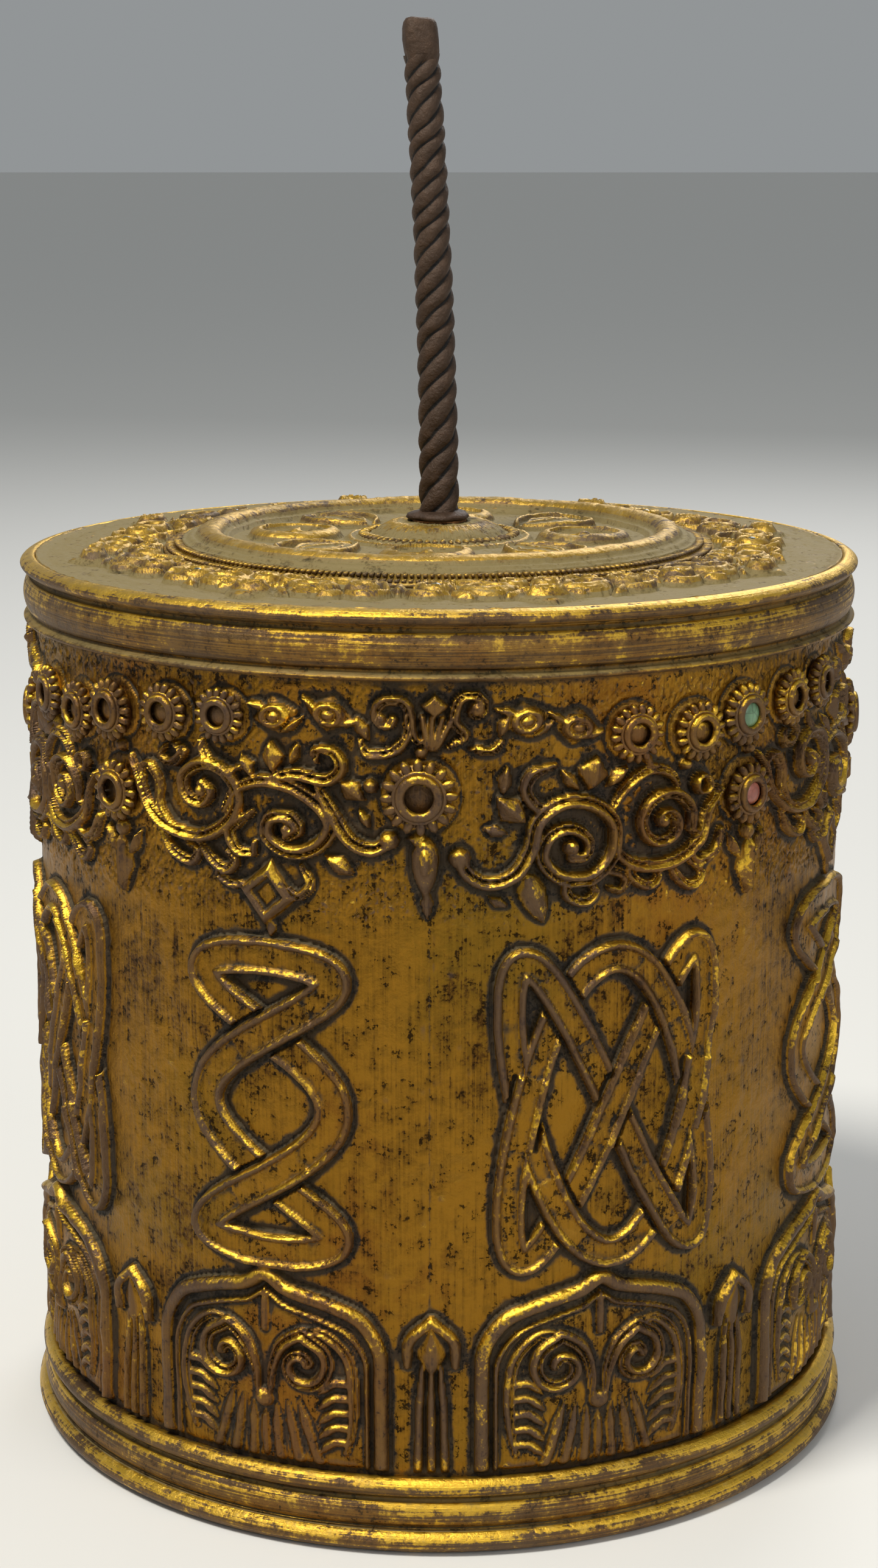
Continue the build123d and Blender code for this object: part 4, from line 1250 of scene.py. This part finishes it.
petalled.close(petalled.put("GeometryNodeInstanceOnPoints", {}, {"Points": g["Geometry"], "Instance": rosette, "Rotation": stand, "Scale": size}))


def on_wall(angle, z, out=0.6):
    t = radians(angle)
    return ((WALL + out) * sin(t), -(WALL + out) * cos(t), z), (sin(t), -cos(t), 0.0)


def settings(spots, out=0.9):
    """Each setting of a quarter, repeated four times round the drum."""
    found = []
    for k in range(4):
        for angle, z, size in spots:
            where, way = on_wall(angle + 90 * k, z + rng.uniform(-0.2, 0.2), out)
            found.append((where, way, size * MM))
    return found


STRING = ((-47.2, 129.4, 5.1), (-37.2, 130.3, 4.7), (-28.4, 131.2, 4.4), (25.3, 128.6, 4.7), (34.8, 127.8, 4.8))
petalled.grow("garland_rosettes", seeds("string", settings(STRING)), GILT, "drum", "gilt_copper", ("garland_settings",), Petals=17)
PENDANTS = ((-2.4, 120.4, 6.0), (-46.4, 117.0, 5.0))
petalled.grow("pendant_rosettes", seeds("pendants", settings(PENDANTS)), GILT, "drum", "gilt_copper", ("pendant_settings",), Petals=16, Fill=0.25)


# ---- stones -------------------------------------------------------------------------------
def domes(name, spots, material, body, slot, nodes, rise=0.45):
    """Low polished stones, one for each (place, facing, radius)."""
    places, faces, steps = [], [], 24
    for where, way, radius in spots:
        w = Vector(way).normalized()
        u = w.orthogonal().normalized()
        v = w.cross(u)
        base = len(places)
        rows = [(1.0, -0.5), (1.0, 0.0), (0.94, 0.34), (0.78, 0.63), (0.52, 0.86), (0.22, 0.98)]
        for r, h in rows:
            for k in range(steps):
                t = 2 * pi * k / steps
                places.append(tuple(Vector(where) + (u * cos(t) + v * sin(t)) * r * radius + w * h * rise * radius))
        places += [tuple(Vector(where) + w * rise * radius), tuple(Vector(where) - w * 0.5 * rise * radius)]
        for j in range(len(rows) - 1):
            for k in range(steps):
                a, b = base + j * steps + k, base + j * steps + (k + 1) % steps
                faces.append((a, b, b + steps, a + steps))
        last, crown_at, foot = base + (len(rows) - 1) * steps, base + len(rows) * steps, base + len(rows) * steps + 1
        for k in range(steps):
            m = (k + 1) % steps
            faces.append((last + k, last + m, crown_at))
            faces.append((base + m, base + k, foot))
    quads = np.array([f for f in faces if len(f) == 4])
    fans = np.array([f for f in faces if len(f) == 3])
    mesh = mesh_of(name, places, [quads, fans])
    return place(name, mesh, material, body, slot, nodes)


def stone_spots(angle, z, radius, out, every):
    return [(*on_wall(angle + every * k, z, out), radius) for k in range(int(360 / every))]


domes("turquoise_stones", stone_spots(42.8, 129.4, 2.2, 1.9, 180), TURQUOISE, "drum", "turquoise",
      ("turquoise_cabochons",))
domes("coral_stones", stone_spots(43.6, 117.0, 1.9, 1.9, 180), CORAL, "drum", "coral", ("coral_cabochons",))
glass_spots = []
for k in range(MODULES):
    px, py = on_lid(LID_TURN + 6 + 45 * k, 52.6)
    glass_spots.append(((px, py, LID_TOP + 1.35), (0, 0, 1), 0.95))
domes("lid_glass_stones", glass_spots, GLASS, "lid", "green_glass", ("lid_glass_beads",), 0.7)

# ---- spindle ------------------------------------------------------------------------------
TWIST_TOP = SPINDLE_TOP - 6.8
twisted = Growth("twisted_bar", Steps=520, Turns=5.25, Bottom=0.1541, Top=0.2273, Bend=0.0032, Reach=0.08, Lobes=4, Across=0.0031)
g = twisted.given
rod = twisted.put("GeometryNodeCurvePrimitiveLine", {}, {"Start": twisted.vector(z=g["Bottom"]), "End": twisted.vector(z=g["Top"])})
rod = twisted.put("GeometryNodeResampleCurve", {}, {"Curve": rod, "Count": g["Steps"]})
share = twisted.put("GeometryNodeSplineParameter", {}, {})
rise = (g["Top"] - g["Bottom"]) * share / g["Reach"]
waver = twisted.put("ShaderNodeTexNoise", {"noise_dimensions": "1D"}, {"W": share * 9.0, "Scale": 1.0, "Detail": 2.0})
rod = twisted.put("GeometryNodeSetPosition", {}, {"Geometry": rod, "Offset": twisted.vector(0.0 - g["Bend"] * rise ** 1.8)})
tilt = (share * 0.80 + share * share * 0.20 + (waver - 0.5) * 0.035) * g["Turns"] * (2 * pi)
rod = twisted.put("GeometryNodeSetCurveTilt", {}, {"Curve": rod, "Tilt": tilt})
girth = g["Across"] * (1.07 - share * 0.13 + (waver - 0.5) * 0.10)
section = twisted.put("GeometryNodeCurvePrimitiveCircle", {}, {"Resolution": 40, "Radius": 1.0})
spot = twisted.put("GeometryNodeInputPosition", {}, {})
across = twisted.put("ShaderNodeSeparateXYZ", {}, {0: spot}, "X")
up = twisted.put("ShaderNodeSeparateXYZ", {}, {0: spot}, "Y")
bearing = twisted.maths("ARCTAN2", up, across)
lobe = twisted.maths("ABSOLUTE", twisted.maths("COSINE", bearing * g["Lobes"] * 0.5, 0.0), 0.0) ** 0.75
grown = twisted.put("ShaderNodeVectorMath", {"operation": "SCALE"}, {0: spot, "Scale": lobe * 0.22 - 0.20})
section = twisted.put("GeometryNodeSetPosition", {}, {"Geometry": section, "Offset": grown})
twisted.close(twisted.put("GeometryNodeCurveToMesh", {}, {"Curve": rod, "Profile Curve": section, "Fill Caps": True, "Scale": girth}))
spindle_bar = twisted.grow("spindle_bar", mesh_of_points("bar", [(0, 0, 0)]), IRON, "spindle", "wrought_iron", ("spindle",), gain=6.0,
                           Bottom=COLLAR_TOP * MM - 0.0006, Top=(TWIST_TOP + 1.0) * MM)


def bent(z):
    return -BEND * (max(0.0, z - COLLAR_BOTTOM) / (SPINDLE_TOP - COLLAR_BOTTOM)) ** 1.8


head_places, side = [], 28
head_rows = [(TWIST_TOP - 0.6, 2.3), (TWIST_TOP + 0.3, 2.62), (TWIST_TOP + 1.5, 2.86), (TWIST_TOP + 3.4, 2.96), (TWIST_TOP + 5.2, 2.86),
             (SPINDLE_TOP - 0.7, 2.66), (SPINDLE_TOP - 0.2, 2.3), (SPINDLE_TOP, 1.6)]
for z, half in head_rows:
    for k in range(side):
        t = 2 * pi * k / side + pi / 4 + 0.12
        square = 1 / max(abs(cos(t - 0.12)), abs(sin(t - 0.12)))
        r = half * (0.55 + 0.45 * min(square, 1.25)) + 0.05 * sin(3 * t + z)
        head_places.append((bent(z) + r * cos(t), r * sin(t), z + 0.12 * sin(t * 2)))
rings = np.arange(len(head_places)).reshape(-1, side)
head_faces = np.concatenate([np.stack([a, np.roll(a, -1), np.roll(b, -1), b], 1) for a, b in zip(rings[:-1], rings[1:])])
head = mesh_of("spindle_head", head_places, [head_faces, rings[0][::-1].copy(), rings[-1].copy()])
worn_by_shape(head)
place("spindle_head", head, IRON, "spindle", "wrought_iron")
journal = turned("spindle_journal", [(0, SPINDLE_FOOT), (1.7, SPINDLE_FOOT), (2.3, SPINDLE_FOOT + 0.5), (JOURNAL, SPINDLE_FOOT + 1.5), (JOURNAL, 60.0),
                                     (JOURNAL, 120.0), (JOURNAL, COLLAR_TOP - 0.2), (0, COLLAR_TOP - 0.2)], 40)
worn_by_shape(journal)
place("spindle_journal", journal, IRON, "spindle", "wrought_iron")


def ragged(places):
    t = np.arctan2(places[:, 0], -places[:, 1])
    wave = 1 + 0.06 * np.sin(3 * t + 0.6) + 0.04 * np.sin(5 * t + 2.0) + 0.025 * np.sin(9 * t)
    wave = np.where(np.hypot(places[:, 0], places[:, 1]) > 3.2, wave, 1)
    return np.stack([places[:, 0] * wave, places[:, 1] * wave, places[:, 2]], 1)


collar = turned("spindle_washer", [(JOURNAL - 0.1, COLLAR_BOTTOM), (4.9, COLLAR_BOTTOM), (5.3, COLLAR_BOTTOM + 0.35), (5.1, COLLAR_TOP - 0.3),
                                   (4.4, COLLAR_TOP), (3.4, COLLAR_TOP + 0.25), (JOURNAL - 0.1, COLLAR_TOP + 0.3)], 64, ragged)
worn_by_shape(collar)
place("spindle_washer", collar, IRON, "spindle", "wrought_iron", ("spindle_collar",))

# ---- the roll's cloth and ties ------------------------------------------------------------
roll_low, roll_high = low("roll_cloth"), high("roll_cloth")
CLOTH_R = 63.75
steps, rise_steps = 320, 40
t = np.arange(steps) * 2 * pi / steps
z = np.linspace(roll_low[2] + 0.3, roll_high[2] - 0.3, rise_steps)
crease = rough_field(rise_steps, steps, 5, 46, 51) * 0.11 + rough_field(rise_steps, steps, 12, 110, 52) * 0.05
tie_z = [roll_low[2] + (roll_high[2] - roll_low[2]) * s for s in (0.17, 0.5, 0.83)]
pinch = sum(np.exp(-((z - c) / 4.0) ** 2) for c in tie_z)[:, None]
out = CLOTH_R + 0.30 + crease * (1 - 0.8 * pinch) - 0.14 * pinch
skins = [np.stack([(out + lift) * np.sin(t), -(out + lift) * np.cos(t), z[:, None] * np.ones(steps)], -1) for lift in (0.16, -0.16)]
grids = [np.arange(rise_steps * steps).reshape(rise_steps, steps) + k * rise_steps * steps for k in (0, 1)]
faces = []
for grid, flip in zip(grids, (False, True)):
    for a, b in zip(grid[:-1], grid[1:]):
        quad = np.stack([a, np.roll(a, -1), np.roll(b, -1), b], 1)
        faces.append(quad[:, ::-1] if flip else quad)
for outer_row, inner_row, flip in ((grids[0][0], grids[1][0], True), (grids[0][-1], grids[1][-1], False)):
    quad = np.stack([outer_row, np.roll(outer_row, -1), np.roll(inner_row, -1), inner_row], 1)
    faces.append(quad[:, ::-1] if flip else quad)
cloth = mesh_of("roll_wrapper", np.concatenate([s.reshape(-1, 3) for s in skins]), [np.concatenate(faces)])
uv = cloth.uv_layers.new(name="lie")
corner = np.empty(len(cloth.loops), np.int64)
cloth.loops.foreach_get("vertex_index", corner)
local = corner % (rise_steps * steps)
width = (local % steps) / steps
first = width.reshape(-1, 4).max(1, keepdims=True) > 0.9
width = np.where(first & (width.reshape(-1, 4) < 0.5), width.reshape(-1, 4) + 1, width.reshape(-1, 4)).ravel()
uv.data.foreach_set("uv", np.stack([width * 2 * pi * CLOTH_R * MM, z[local // steps] * MM], 1).ravel())
wrapper = place("roll_wrapper", cloth, CLOTH, "drum", "cloth", ("roll_cloth",))
for k, c in enumerate(tie_z):
    loop = [(64.45, c - 3.0), (65.1, c - 2.8), (65.25, c - 1.6), (65.1, c - 0.2), (65.3, c + 1.4), (65.05, c + 2.8), (64.45, c + 3.0), (64.4, c)]
    tie = turned(f"roll_tie_{k + 1}", loop, 200, hand_worked(0.1, 60 + k))
    place(f"roll_tie_{k + 1}", tie, TAPE, "drum", "tie_cord", ("roll_ties",) if k == 0 else ())

# ---- finishes of the CAD pieces that are kept ----------------------------------------------
KEPT = {"base_plate": COPPER, "foot_bearing": COPPER, "foot_bearing_rivets": COPPER, "core_tube": WOOD, "packing_disc_bottom": WOOD,
        "packing_disc_top": WOOD, "mantra_roll": PAPER, "lid_skirt": COPPER, "lid_bush": COPPER}
for node, finish in KEPT.items():
    for patch in bpy.data.objects[node].material_slots:
        patch.material = finish


# ---- camera, light and floor --------------------------------------------------------------
def lamp(name, where, aim, size, watts, colour=(1.0, 1.0, 1.0)):
    data = bpy.data.lights.new(name, "AREA")
    data.shape = "DISK"
    data.size = size
    data.energy = watts
    data.color = colour
    obj = bpy.data.objects.new(name, data)
    obj.location = where
    obj.rotation_euler = (Vector(aim) - Vector(where)).to_track_quat("-Z", "Y").to_euler()
    bpy.context.scene.collection.objects.link(obj)


floor_colour = Finish("studio_floor")
floor_colour.shader.inputs["Base Color"].default_value = (0.78, 0.77, 0.74, 1.0)
floor_colour.shader.inputs["Roughness"].default_value = 0.9
floor_mesh = mesh_of("floor", [(x * 40000, y * 40000, -0.2) for x, y in ((-1, -1), (1, -1), (1, 1), (-1, 1))], np.array([[0, 1, 2, 3]]))
floor_mesh.materials.append(floor_colour.material)
floor = bpy.data.objects.new("floor", floor_mesh)
bpy.context.scene.collection.objects.link(floor)

world = bpy.data.worlds.new("studio")
bpy.context.scene.world = world
world.use_nodes = True
world.node_tree.nodes["Background"].inputs["Color"].default_value = (0.80, 0.84, 0.86, 1.0)
world.node_tree.nodes["Background"].inputs["Strength"].default_value = 0.36

lamp("key", (-0.38, -0.42, 1.15), (0, 0, 0.1), 0.30, 13.0, (1.0, 0.97, 0.90))
lamp("fill", (0.9, -0.9, 0.6), (0, 0, 0.08), 0.8, 4.0)
lamp("back", (0.3, 1.1, 0.9), (0, 0, 0.1), 0.6, 5.0)

camera_data = bpy.data.cameras.new("camera")
camera_data.lens = 64.3
camera_data.sensor_width = 36.0
camera_data.sensor_fit = "AUTO"
camera_data.clip_start = 0.01
camera = bpy.data.objects.new("camera", camera_data)
camera.location = (0.0, -0.469, 0.2121)
camera.rotation_euler = (radians(90 - 12.62), radians(0.0), 0.0)
bpy.context.scene.collection.objects.link(camera)
bpy.context.scene.camera = camera
bpy.context.scene.view_settings.view_transform = "Standard"
